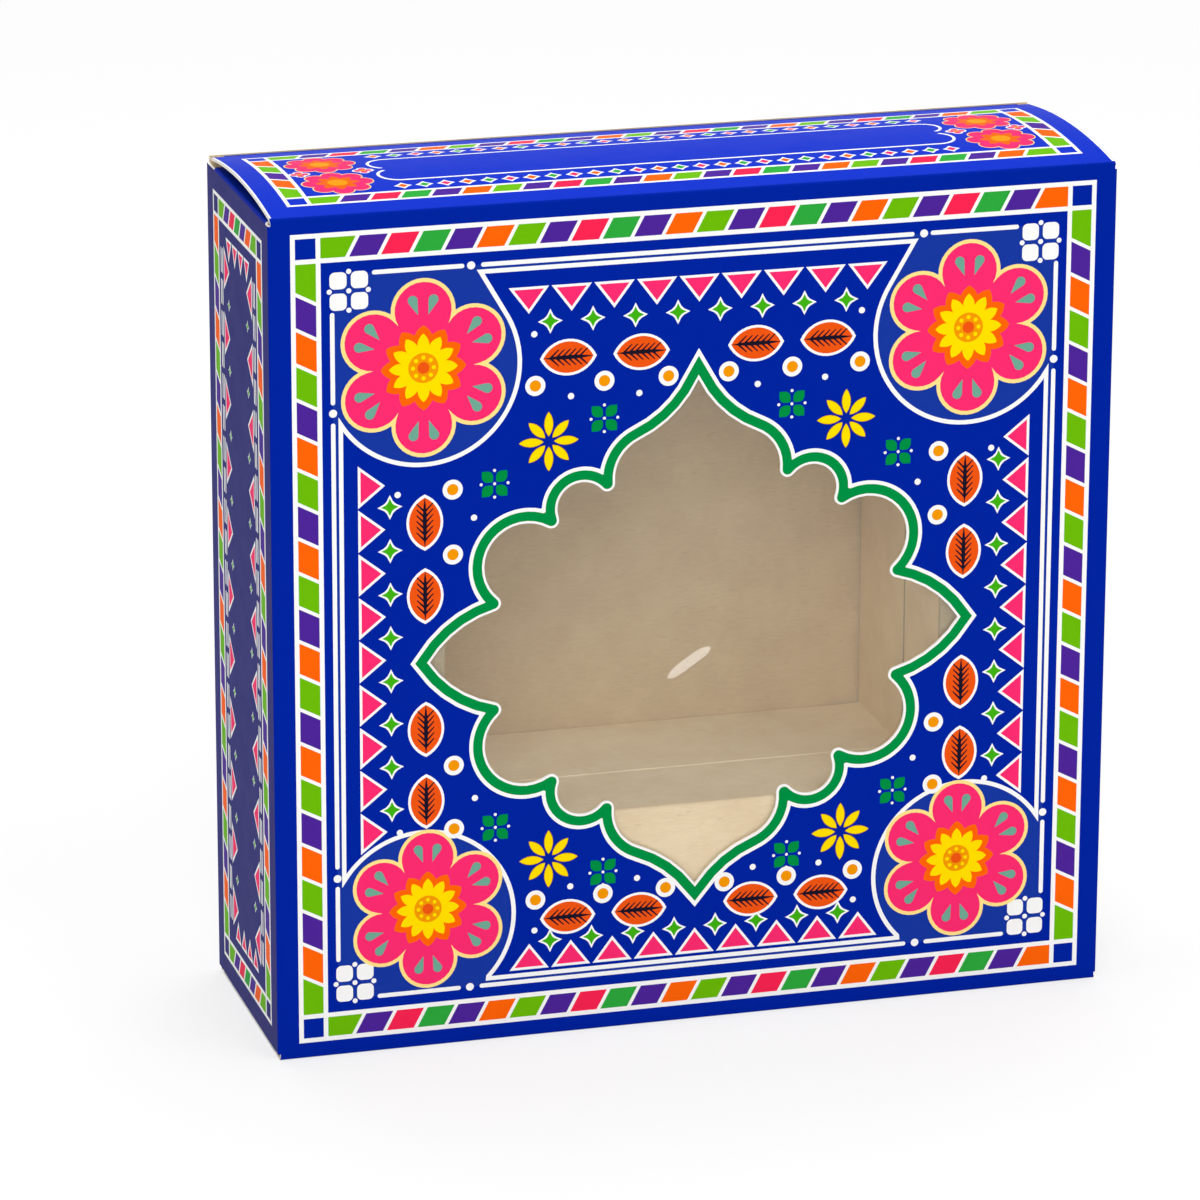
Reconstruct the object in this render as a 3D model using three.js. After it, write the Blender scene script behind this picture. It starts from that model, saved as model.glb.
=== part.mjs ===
// A hamper box: a printed paperboard window carton that stands upright.
// The lid and the bottom fold on the front panel and tuck in behind the back panel, over dust flaps
// that fold on the side panels. Clear film is glued behind the window, and a folded fitment inside
// makes a raised display cell. Every crease is a living hinge between two flat panels.
// Millimetres, +Z up, front towards -Y, origin at the middle of the base.

import * as THREE from 'three';

// Carton, outside sizes
const boxWidth = 165.1;
const boxDepth = 50.8;
const boxHeight = 165.1;
const board = 0.5;
const glueFilm = 0.1;

// Side seam
const glueFlapWidth = 13;
const glueFlapTaper = 6;
const seamInset = 0.4;
const seamGlueMargin = 1.5;

// Lid and bottom, with their tuck flaps and dust flaps
const lidCrown = 1.8;
const lidSideInset = 0.4;
const creaseClearance = 0.05;
const stackGap = 0.3;
const tuckLength = 14;
const tuckLean = THREE.MathUtils.degToRad(14);
const tuckClearance = 1.3;
const tuckSideClearance = 2.5;
const tuckCornerRadius = 8;
const dustLength = 44;
const dustFrontClearance = 1.5;
const dustTuckClearance = 1;
const dustCornerRadius = 6;

// Window: its left and right halves are alike, and so are its quarters but for the bottom point, which
// is blunter than the top one. Going from the top or bottom point to the side point, the outline has a
// flared shoulder, a small lobe, a large lobe and a bowed side, which meet in cusps. The cut runs inside
// that line, so that its cusps are rounded.
const windowDrop = 5.3;
const windowTop = 51.4;
const windowBottom = 49.3;
const windowSide = 54.1;
const cuspRadius = 1.5;
const topPointLean = THREE.MathUtils.degToRad(26);
const bottomPointLean = THREE.MathUtils.degToRad(35);
const shoulderReach = 9.4;
const shoulderTurn = THREE.MathUtils.degToRad(-5.5);
const shoulderCusp = new THREE.Vector2(17.75, 32.35);
const smallLobeInset = 1.2;
const lobeCusp = new THREE.Vector2(28.65, 25.95);
const largeLobeInset = 0.85;
const sideCusp = new THREE.Vector2(40, 10.55);
const sidePointInset = 20.5;

// Window film
const filmThickness = 0.2;
const filmOverlap = 7;
const filmGlueEdge = 1;
const filmGlueClear = 1;

// Fitment
const deckHeight = 44;
const cellWidth = 98;
const cheekHeight = 82;
const wingSideClearance = 2;
const fitmentClearance = 0.3;
const apronInset = 1;
const flangeDepth = 18;
const flangeInset = 6;
const flangeGlueMargin = 2;

// Fineness of the round stretches
const arcStep = THREE.MathUtils.degToRad(10);
const creaseSegments = 4;
const beadSegments = 12;
const cornerSegments = 6;
const crownSegments = 8;

// Places that follow from the sizes above
const innerSide = boxWidth / 2 - board;
const innerFront = -boxDepth / 2 + board;
const innerBack = boxDepth / 2 - board;
const beadRadius = board / 2;
const hingeReach = beadRadius + creaseClearance;
const tuckReach = beadRadius / Math.tan((Math.PI / 2 - tuckLean) / 2) + creaseClearance;
const hingeY = -boxDepth / 2 + beadRadius;
const tuckY = innerBack - tuckClearance - beadRadius;
const tuckTipY = tuckY - tuckLength * Math.sin(tuckLean) - beadRadius;
const dustSeat = 2 * board + stackGap;
const dustFrontY = innerFront + dustFrontClearance;
const dustRearY = tuckTipY - dustTuckClearance;
const sideHeight = boxHeight - 2 * dustSeat;
const glueFlapInnerY = innerBack - glueFilm - board;
const windowZ = boxHeight / 2 - windowDrop;
const filmInnerY = innerFront + glueFilm + filmThickness;
const apronInnerY = filmInnerY + fitmentClearance + board;
const flangeInnerY = innerBack - glueFilm - board;
const cheekX = cellWidth / 2;

// Directions of a sheet: the first two span its outline, the third is the way it is thick
const X = new THREE.Vector3(1, 0, 0);
const Y = new THREE.Vector3(0, 1, 0);
const Z = new THREE.Vector3(0, 0, 1);
const facingFront = new THREE.Matrix4().makeBasis(X, Z, Y.clone().negate());
const facingRight = new THREE.Matrix4().makeBasis(Y, Z, X);
const facingUp = new THREE.Matrix4().makeBasis(X, Y, Z);

const finishes = {
  print: { color: 0x00239b, roughness: 0.35, metalness: 0 },
  rawBoard: { color: 0xb4a287, roughness: 0.9, metalness: 0 },
  film: { color: 0xf4f6f7, roughness: 0.05, metalness: 0, transparent: true, opacity: 0.25 },
  glue: { color: 0xe8e2cf, roughness: 0.6, metalness: 0 },
};

function sheet(name, finish, outline, direction, start, thickness, curveSegments = cornerSegments) {
  const options = { depth: thickness, bevelEnabled: false, curveSegments };
  const geometry = new THREE.ExtrudeGeometry(outline, options);
  const mesh = new THREE.Mesh(geometry, new THREE.MeshStandardMaterial(finishes[finish]));
  mesh.name = name;
  mesh.quaternion.setFromRotationMatrix(direction);
  mesh.position.copy(start);
  return mesh;
}

function rectangle(left, low, right, high) {
  const outline = new THREE.Shape();
  outline.moveTo(left, low);
  outline.lineTo(right, low);
  outline.lineTo(right, high);
  outline.lineTo(left, high);
  outline.closePath();
  return outline;
}

// A flap that starts at the level `root` and ends at `tip`, with its two free corners rounded
function flapOutline(left, right, root, tip, radius) {
  const outline = new THREE.Shape();
  outline.moveTo(left, root);
  outline.lineTo(right, root);
  outline.lineTo(right, tip - radius);
  outline.absarc(right - radius, tip - radius, radius, 0, Math.PI / 2);
  outline.absarc(left + radius, tip - radius, radius, Math.PI / 2, Math.PI);
  outline.closePath();
  return outline;
}

// A fixed fold: a quarter round of board whose point is the inside corner of the two panels
function quarterRound(firstAngle) {
  const outline = new THREE.Shape();
  outline.moveTo(0, 0);
  outline.absarc(0, 0, board, firstAngle, firstAngle + Math.PI / 2);
  outline.closePath();
  return outline;
}

// A working fold: a round bead of board on the hinge line
function bead(name, y, z, halfLength) {
  const outline = new THREE.Shape();
  outline.absarc(0, 0, beadRadius, 0, 2 * Math.PI);
  const start = new THREE.Vector3(-halfLength, y, z);
  return sheet(name, 'print', outline, facingRight, start, 2 * halfLength, beadSegments);
}

// Points along a circle's arc between two points on it; turn is 1 anticlockwise and -1 clockwise
function arcPoints(centre, from, to, turn) {
  const radius = from.distanceTo(centre);
  const first = from.clone().sub(centre).angle();
  const last = to.clone().sub(centre).angle();
  const sweep = THREE.MathUtils.euclideanModulo(turn * (last - first), 2 * Math.PI);
  const count = Math.max(1, Math.ceil(sweep / arcStep));
  return Array.from({ length: count }, (_, i) => {
    const angle = first + turn * sweep * (i / count);
    return new THREE.Vector2(Math.cos(angle), Math.sin(angle)).multiplyScalar(radius).add(centre);
  });
}

function direction2(angle) {
  return new THREE.Vector2(Math.cos(angle), Math.sin(angle));
}

// The point of the cut that faces a cusp, seen from the centre of a round stretch beside it
function besideCusp(cusp, centre) {
  return cusp.clone().add(centre.clone().sub(cusp).setLength(cuspRadius));
}

// Centre of an arc through two points, set in from their chord towards the window
function arcCentre(pointA, pointB, inset) {
  const chord = pointB.clone().sub(pointA);
  const inward = new THREE.Vector2(chord.y, -chord.x).setLength(inset);
  return pointA.clone().add(pointB).multiplyScalar(0.5).add(inward);
}

// One quarter of the cut, from a point at the height `reach` to its side point
function windowQuarter(reach, pointLean) {
  const point = new THREE.Vector2(0, reach);
  const shoulder = shoulderCusp.clone().sub(direction2(shoulderTurn).multiplyScalar(shoulderReach));
  const shoulderRadius = shoulderReach - cuspRadius;
  const flareSide = direction2(pointLean);
  const rise = point.clone().sub(shoulder);
  const flareGap = shoulderRadius - rise.dot(flareSide);
  const flareRadius = (rise.lengthSq() - shoulderRadius ** 2) / (2 * flareGap);
  const flare = point.clone().add(flareSide.multiplyScalar(flareRadius));
  const flareEnd = shoulder.clone().add(flare.clone().sub(shoulder).setLength(shoulderRadius));

  const cusps = [shoulderCusp, lobeCusp, sideCusp];
  const sidePoint = arcCentre(sideCusp, new THREE.Vector2(windowSide, 0), sidePointInset);
  const centres = [
    shoulder,
    arcCentre(shoulderCusp, lobeCusp, smallLobeInset),
    arcCentre(lobeCusp, sideCusp, largeLobeInset),
    sidePoint,
  ];
  const points = arcPoints(flare, point, flareEnd, 1);
  let from = flareEnd;
  cusps.forEach((cusp, i) => {
    const before = besideCusp(cusp, centres[i]);
    const after = besideCusp(cusp, centres[i + 1]);
    points.push(...arcPoints(centres[i], from, before, -1));
    points.push(...arcPoints(cusp, before, after, 1));
    from = after;
  });
  const sideRadius = from.distanceTo(sidePoint);
  const side = new THREE.Vector2(sidePoint.x + Math.sqrt(sideRadius ** 2 - sidePoint.y ** 2), 0);
  return [...points, ...arcPoints(sidePoint, from, side, -1), side];
}

function windowOutline() {
  const mirrored = (points, sx, sy) => points.map((p) => new THREE.Vector2(sx * p.x, sy * p.y));
  const upper = windowQuarter(windowTop, topPointLean);
  const lower = windowQuarter(windowBottom, bottomPointLean);
  const right = [...upper, ...mirrored(lower.slice(0, -1), 1, -1).reverse()];
  const loop = [...right, ...mirrored(right.slice(1, -1), -1, 1).reverse()];
  return loop.map((p) => p.add(new THREE.Vector2(0, windowZ)));
}

function frontPanel() {
  const edge = board + creaseClearance;
  const outline = rectangle(-innerSide, edge, innerSide, boxHeight - edge);
  outline.holes.push(new THREE.Path(windowOutline()));
  return sheet('front_panel', 'print', outline, facingFront, new THREE.Vector3(0, innerFront, 0), board);
}

function backPanel() {
  const outline = rectangle(-innerSide, 0, boxWidth / 2 - seamInset, boxHeight);
  return sheet('back_panel', 'print', outline, facingFront, new THREE.Vector3(0, boxDepth / 2, 0), board);
}

function sidePanels() {
  const low = dustSeat;
  const high = dustSeat + sideHeight;
  const left = rectangle(innerFront, low, innerBack, high);
  const right = rectangle(innerFront, low, glueFlapInnerY, high);
  return [
    sheet('left_panel', 'print', left, facingRight, new THREE.Vector3(-boxWidth / 2, 0, 0), board),
    sheet('right_panel', 'print', right, facingRight, new THREE.Vector3(innerSide, 0, 0), board),
  ];
}

function cornerCrease(name, x, y, firstAngle) {
  const start = new THREE.Vector3(x, y, dustSeat);
  return sheet(name, 'print', quarterRound(firstAngle), facingUp, start, sideHeight, creaseSegments);
}

function cornerCreases() {
  return [
    cornerCrease('front_left_crease', -innerSide, innerFront, Math.PI),
    cornerCrease('front_right_crease', innerSide, innerFront, -Math.PI / 2),
    cornerCrease('back_left_crease', -innerSide, innerBack, Math.PI / 2),
    cornerCrease('glue_flap_crease', innerSide, glueFlapInnerY, 0),
  ];
}

function sideSeam() {
  const low = dustSeat;
  const high = dustSeat + sideHeight;
  const freeEdge = innerSide - glueFlapWidth;
  const flap = new THREE.Shape();
  flap.moveTo(innerSide, low);
  flap.lineTo(innerSide, high);
  flap.lineTo(freeEdge, high - glueFlapTaper);
  flap.lineTo(freeEdge, low + glueFlapTaper);
  flap.closePath();
  const glueEnd = glueFlapTaper + seamGlueMargin;
  const glueLeft = freeEdge + seamGlueMargin;
  const glueRight = innerSide - seamGlueMargin;
  const glue = rectangle(glueLeft, low + glueEnd, glueRight, high - glueEnd);
  const flapStart = new THREE.Vector3(0, glueFlapInnerY + board, 0);
  return [
    sheet('glue_flap', 'print', flap, facingFront, flapStart, board),
    sheet('seam_glue', 'glue', glue, facingFront, new THREE.Vector3(0, innerBack, 0), glueFilm),
  ];
}

function windowPane() {
  const round = (margin) => {
    const side = windowSide + margin;
    return rectangle(-side, windowZ - windowBottom - margin, side, windowZ + windowTop + margin);
  };
  const band = round(filmOverlap - filmGlueEdge);
  band.holes.push(round(filmGlueClear));
  const bandStart = new THREE.Vector3(0, innerFront + glueFilm, 0);
  const filmStart = new THREE.Vector3(0, filmInnerY, 0);
  return [
    sheet('window_glue', 'glue', band, facingFront, bandStart, glueFilm),
    sheet('window_film', 'film', round(filmOverlap), facingFront, filmStart, filmThickness),
  ];
}

// Section of a lid that bows up by `crown` between its two folds
function bowedSection(crown) {
  const span = tuckY - hingeY;
  const segments = crown > 0 ? crownSegments : 1;
  const rise = (y) => 4 * crown * (y / span) * (1 - y / span);
  const slope = (y) => (4 * crown / span) * (1 - 2 * y / span);
  const line = (side) => Array.from({ length: segments + 1 }, (_, i) => {
    const y = hingeReach + (span - hingeReach - tuckReach) * (i / segments);
    const normal = new THREE.Vector2(-slope(y), 1).setLength(side * beadRadius);
    return new THREE.Vector2(y, rise(y)).add(normal);
  });
  return new THREE.Shape([...line(-1), ...line(1).reverse()]);
}

function tuckFlap(name) {
  const halfWidth = innerSide - tuckSideClearance;
  const outline = flapOutline(-halfWidth, halfWidth, tuckReach, tuckLength, tuckCornerRadius);
  const flap = sheet(name, 'print', outline, facingFront, new THREE.Vector3(0, beadRadius, 0), board);
  const leaning = new THREE.Group();
  leaning.rotation.x = Math.PI - tuckLean;
  leaning.add(flap);
  return leaning;
}

function dustFlap(name, side) {
  const outline = flapOutline(dustFrontY, dustRearY, 0, dustLength, dustCornerRadius);
  const lengthwise = X.clone().multiplyScalar(-side);
  const inward = new THREE.Matrix4().makeBasis(Y, lengthwise, Z.clone().multiplyScalar(side));
  const low = side > 0 ? -dustSeat : -dustSeat + board;
  return sheet(name, 'print', outline, inward, new THREE.Vector3(side * innerSide, 0, low), board);
}

function dustCrease(name, side) {
  const start = new THREE.Vector3(side * innerSide, dustRearY, -dustSeat);
  const outline = quarterRound(side > 0 ? 0 : Math.PI / 2);
  return sheet(name, 'print', outline, facingFront, start, dustRearY - dustFrontY, creaseSegments);
}

// One end of the carton, drawn as the top with its outside at the level 0
function endClosure(names, crown) {
  const closure = new THREE.Group();
  const lidHalf = boxWidth / 2 - lidSideInset;

  const lid = new THREE.Group();
  lid.position.set(0, hingeY, -beadRadius);
  const panelStart = new THREE.Vector3(-lidHalf, 0, 0);
  lid.add(sheet(names.panel, 'print', bowedSection(crown), facingRight, panelStart, 2 * lidHalf));
  lid.add(bead(names.tuckCrease, tuckY - hingeY, 0, innerSide - tuckSideClearance));

  const tuck = tuckFlap(names.tuckFlap);
  tuck.position.set(0, tuckY - hingeY, 0);
  lid.add(tuck);
  closure.add(lid, bead(names.crease, hingeY, -beadRadius, lidHalf));

  for (const [side, flapName] of [[-1, names.leftFlap], [1, names.rightFlap]]) {
    closure.add(dustFlap(flapName, side), dustCrease(flapName.replace('flap', 'crease'), side));
  }
  return closure;
}

function lidClosure() {
  const closure = endClosure({
    panel: 'lid_panel',
    crease: 'lid_crease',
    tuckFlap: 'lid_tuck_flap',
    tuckCrease: 'lid_tuck_crease',
    leftFlap: 'top_left_dust_flap',
    rightFlap: 'top_right_dust_flap',
  }, lidCrown);
  closure.position.z = boxHeight;
  return closure;
}

// The bottom is the same closure turned upside down, flat, so its left and right change places
function bottomClosure() {
  const closure = endClosure({
    panel: 'bottom_panel',
    crease: 'bottom_crease',
    tuckFlap: 'bottom_tuck_flap',
    tuckCrease: 'bottom_tuck_crease',
    leftFlap: 'bottom_right_dust_flap',
    rightFlap: 'bottom_left_dust_flap',
  }, 0);
  closure.rotation.y = Math.PI;
  return closure;
}

function fitmentFrontAndBack() {
  const underside = deckHeight - board;
  const apronHalf = cheekX - apronInset;
  const flangeHalf = cheekX - flangeInset;
  const flangeLow = underside - flangeDepth;
  const apron = rectangle(-apronHalf, board + fitmentClearance, apronHalf, underside);
  const flange = rectangle(-flangeHalf, flangeLow, flangeHalf, underside);
  const glueHalf = flangeHalf - flangeGlueMargin;
  const glue = rectangle(-glueHalf, flangeLow + flangeGlueMargin, glueHalf, underside - flangeGlueMargin);
  const apronStart = new THREE.Vector3(0, apronInnerY, 0);
  const flangeStart = new THREE.Vector3(0, flangeInnerY + board, 0);
  const glueStart = new THREE.Vector3(0, innerBack, 0);
  const fold = (name, firstAngle, y, half) => {
    const start = new THREE.Vector3(-half, y, underside);
    return sheet(name, 'rawBoard', quarterRound(firstAngle), facingRight, start, 2 * half, creaseSegments);
  };
  return [
    sheet('fitment_apron', 'rawBoard', apron, facingFront, apronStart, board),
    sheet('fitment_rear_flange', 'rawBoard', flange, facingFront, flangeStart, board),
    sheet('fitment_glue', 'glue', glue, facingFront, glueStart, glueFilm),
    fold('fitment_apron_crease', Math.PI / 2, apronInnerY, apronHalf),
    fold('fitment_rear_crease', 0, flangeInnerY, flangeHalf),
  ];
}

function fitmentDeckAndCheeks() {
  const depth = flangeInnerY - apronInnerY;
  const deck = rectangle(-cheekX, apronInnerY, cheekX, flangeInnerY);
  const cheek = rectangle(apronInnerY, deckHeight, flangeInnerY, deckHeight + cheekHeight);
  const pieces = [
    sheet('fitment_deck', 'rawBoard', deck, facingUp, new THREE.Vector3(0, 0, deckHeight - board), board),
  ];
  for (const [side, label] of [[-1, 'left'], [1, 'right']]) {
    const cheekStart = new THREE.Vector3(side > 0 ? cheekX : -cheekX - board, 0, 0);
    const fold = new THREE.Vector3(side * cheekX, flangeInnerY, deckHeight);
    const foldOutline = quarterRound(side > 0 ? -Math.PI / 2 : Math.PI);
    pieces.push(
      sheet(`fitment_${label}_cheek`, 'rawBoard', cheek, facingRight, cheekStart, board),
      sheet(`fitment_${label}_crease`, 'rawBoard', foldOutline, facingFront, fold, depth, creaseSegments),
    );
  }
  return pieces;
}

// The wings fold outwards from the cheeks' front edges and fill the space beside the display cell
function fitmentWings() {
  const near = cheekX + board;
  const far = innerSide - wingSideClearance;
  const top = deckHeight + cheekHeight;
  const start = new THREE.Vector3(0, apronInnerY, 0);
  return [[-1, 'left'], [1, 'right']].flatMap(([side, label]) => {
    const [left, right] = side > 0 ? [near, far] : [-far, -near];
    const name = `fitment_${label}_wing`;
    const wing = rectangle(left, deckHeight, right, top);
    const fold = new THREE.Vector3(side * near, apronInnerY, deckHeight);
    const foldOutline = quarterRound(side > 0 ? Math.PI : -Math.PI / 2);
    return [
      sheet(name, 'rawBoard', wing, facingFront, start, board),
      sheet(`${name}_crease`, 'rawBoard', foldOutline, facingUp, fold, cheekHeight, creaseSegments),
    ];
  });
}

const hamperBox = new THREE.Group();
hamperBox.add(frontPanel(), backPanel(), ...sidePanels(), ...cornerCreases());
hamperBox.add(...sideSeam(), ...windowPane());
hamperBox.add(lidClosure(), bottomClosure());
hamperBox.add(...fitmentFrontAndBack(), ...fitmentDeckAndCheeks(), ...fitmentWings());

export default hamperBox;
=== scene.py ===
"""Dresses the hamper box: a printed, film-laminated window carton with a folded fitment inside."""

import logging
import math
from dataclasses import dataclass, field
from enum import Enum
from typing import Any, Sequence

import bpy
import numpy as np
from mathutils import Matrix, Vector
from mathutils.geometry import delaunay_2d_cdt


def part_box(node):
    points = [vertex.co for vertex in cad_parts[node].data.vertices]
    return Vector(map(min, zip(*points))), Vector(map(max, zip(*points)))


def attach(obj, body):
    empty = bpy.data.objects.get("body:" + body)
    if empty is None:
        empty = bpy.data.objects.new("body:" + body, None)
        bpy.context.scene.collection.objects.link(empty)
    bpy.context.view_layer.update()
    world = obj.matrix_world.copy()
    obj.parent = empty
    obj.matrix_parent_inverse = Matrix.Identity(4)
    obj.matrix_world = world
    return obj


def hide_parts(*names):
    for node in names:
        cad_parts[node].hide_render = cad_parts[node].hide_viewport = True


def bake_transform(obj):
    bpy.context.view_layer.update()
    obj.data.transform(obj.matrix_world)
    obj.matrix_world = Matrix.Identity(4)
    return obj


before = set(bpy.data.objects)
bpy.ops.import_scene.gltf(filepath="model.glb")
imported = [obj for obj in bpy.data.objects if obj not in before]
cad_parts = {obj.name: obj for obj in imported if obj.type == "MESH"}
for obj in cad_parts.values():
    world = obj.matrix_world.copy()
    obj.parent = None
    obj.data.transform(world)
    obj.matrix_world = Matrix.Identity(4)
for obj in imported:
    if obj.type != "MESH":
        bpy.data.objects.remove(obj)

LOG = logging.getLogger("hamper_box")
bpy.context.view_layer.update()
MM = 0.001
BOARD = 0.5
PLY = BOARD / 2
JOIN = 1e-4
SHARP_ANGLE = 32
WHITE_LIGHT = (1.0, 1.0, 1.0, 1.0)

Point = tuple[float, float]
Outline = list[Point]
Triple = tuple[float, float, float]


def linear(hex_colour: str) -> tuple[float, float, float, float]:
    """Turns an sRGB hex colour into linear RGBA.

    Args:
        hex_colour: a colour such as "#01239B".

    Returns:
        The linear red, green and blue, and an alpha of 1.
    """
    channels = [int(hex_colour[i : i + 2], 16) / 255 for i in (1, 3, 5)]
    return (*(c / 12.92 if c <= 0.04045 else ((c + 0.055) / 1.055) ** 2.4 for c in channels), 1.0)


def per_mm(size: float) -> float:
    """Gives the texture scale whose features are about this many millimetres across."""
    return 1 / (size * MM)


def add_node(
    tree: bpy.types.NodeTree,
    kind: str,
    settings: dict[str | int, Any] | None = None,
    links: dict[str | int, bpy.types.NodeSocket] | None = None,
) -> bpy.types.Node:
    """Adds a node to a tree, sets it and links it.

    Args:
        tree: the shader or geometry tree.
        kind: the node's type name.
        settings: values for the node's own properties, by name, or for its inputs, by name or place.
        links: sockets that feed the node's inputs, by the input's name or place.

    Returns:
        The new node.
    """
    node = tree.nodes.new(kind)
    for name, value in (settings or {}).items():
        if isinstance(name, int) or name in node.inputs:
            node.inputs[name].default_value = value
        else:
            setattr(node, name, value)
    for name, socket in (links or {}).items():
        tree.links.new(socket, node.inputs[name])
    return node


def new_material(name: str) -> tuple[bpy.types.Material, bpy.types.NodeTree, bpy.types.Node]:
    """Makes an empty node material.

    Args:
        name: the material's name.

    Returns:
        The material, its tree and its output node.
    """
    material = bpy.data.materials.new(name)
    material.use_nodes = True
    tree = material.node_tree
    tree.nodes.clear()
    return material, tree, add_node(tree, "ShaderNodeOutputMaterial")


class Ink(Enum):
    """The inks of the print, as sRGB colours of the laminated sheet.

    The sides' ground is the front's blue printed darker, as painted shade, and the lid's ground is it
    printed lighter, as painted sheen and light from above.
    """

    ROYAL_BLUE = "#01239B"
    BAY_BLUE = "#17369C"
    WHITE = "#F7F7F5"
    PINK = "#F82C6E"
    RED_PINK = "#F62550"
    # Painted shade: the front's blue printed darker for the sides, which stand in shade.
    NAVY = "#2A2975"
    # Painted sheen: the front's blue printed lighter for the lid, which catches the light from above.
    LID_BLUE = "#0C30C0"
    ORANGE = "#FD6308"
    LIME = "#6AB70A"
    GREEN = "#2DA53C"
    FRAME_GREEN = "#008C41"
    PURPLE = "#4C2594"
    YELLOW = "#FFDC00"
    EGG_ORANGE = "#F19605"
    LEAF_ORANGE = "#EB5412"
    STAR_GREEN = "#3FAE12"
    OCHRE = "#A8700A"
    LEAF_RIB = "#1A1626"
    TEAL = "#6DA592"
    CREAM = "#FFE08C"


# Pulp fibres are about 0.03 mm wide. The finishes draw them some ten times as coarse, so that they show.
@dataclass(frozen=True)
class LaminatedPrint:
    """Offset ink on coated board under a thin satin film: an even colour with hardly any sheen, and a
    faint unevenness where the board's fibres show through the film."""

    ink: Ink
    roughness: tuple[float, float] = (0.3, 0.42)
    specular: float = 0.006
    sheen_mm: float = 5.0
    fibre_mm: float = 0.5
    relief_mm: float = 0.006

    def material(self) -> bpy.types.Material:
        """Makes the finish, once.

        Returns:
            The material.
        """
        name = f"laminated_print_{self.ink.name.lower()}"
        if name in bpy.data.materials:
            return bpy.data.materials[name]
        material, tree, output = new_material(name)
        place = add_node(tree, "ShaderNodeTexCoord").outputs["Object"]
        patches = add_node(
            tree,
            "ShaderNodeTexNoise",
            {"Scale": per_mm(self.sheen_mm), "Detail": 3.0},
            {"Vector": place},
        )
        rough = add_node(
            tree,
            "ShaderNodeMapRange",
            {"To Min": self.roughness[0], "To Max": self.roughness[1]},
            {"Value": patches.outputs["Fac"]},
        )
        fibres = add_node(
            tree,
            "ShaderNodeTexNoise",
            {"Scale": per_mm(self.fibre_mm), "Detail": 2.0},
            {"Vector": place},
        )
        bump = add_node(
            tree,
            "ShaderNodeBump",
            {"Strength": 1.0, "Distance": self.relief_mm * MM},
            {"Height": fibres.outputs["Fac"]},
        )
        shader = add_node(
            tree,
            "ShaderNodeBsdfPrincipled",
            {"Base Color": linear(self.ink.value), "Specular IOR Level": self.specular},
            {"Roughness": rough.outputs["Result"], "Normal": bump.outputs["Normal"]},
        )
        tree.links.new(shader.outputs["BSDF"], output.inputs["Surface"])
        return material


@dataclass(frozen=True)
class CutBoard:
    """The cut edge of bleached board: plain white pulp, torn a little by the die's blade."""

    colour: str = "#F3EFE6"
    roughness: float = 0.85
    specular: float = 0.2
    fibre_mm: float = 0.25
    relief_mm: float = 0.03
    relief_strength: float = 0.6

    def material(self) -> bpy.types.Material:
        """Makes the finish, once.

        Returns:
            The material.
        """
        name = "cut_bleached_board"
        if name in bpy.data.materials:
            return bpy.data.materials[name]
        material, tree, output = new_material(name)
        place = add_node(tree, "ShaderNodeTexCoord").outputs["Object"]
        pulp = add_node(
            tree,
            "ShaderNodeTexNoise",
            {"Scale": per_mm(self.fibre_mm), "Detail": 3.0},
            {"Vector": place},
        )
        bump = add_node(
            tree,
            "ShaderNodeBump",
            {"Strength": self.relief_strength, "Distance": self.relief_mm * MM},
            {"Height": pulp.outputs["Fac"]},
        )
        shader = add_node(
            tree,
            "ShaderNodeBsdfPrincipled",
            {
                "Base Color": linear(self.colour),
                "Roughness": self.roughness,
                "Specular IOR Level": self.specular,
            },
            {"Normal": bump.outputs["Normal"]},
        )
        tree.links.new(shader.outputs["BSDF"], output.inputs["Surface"])
        return material


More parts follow.
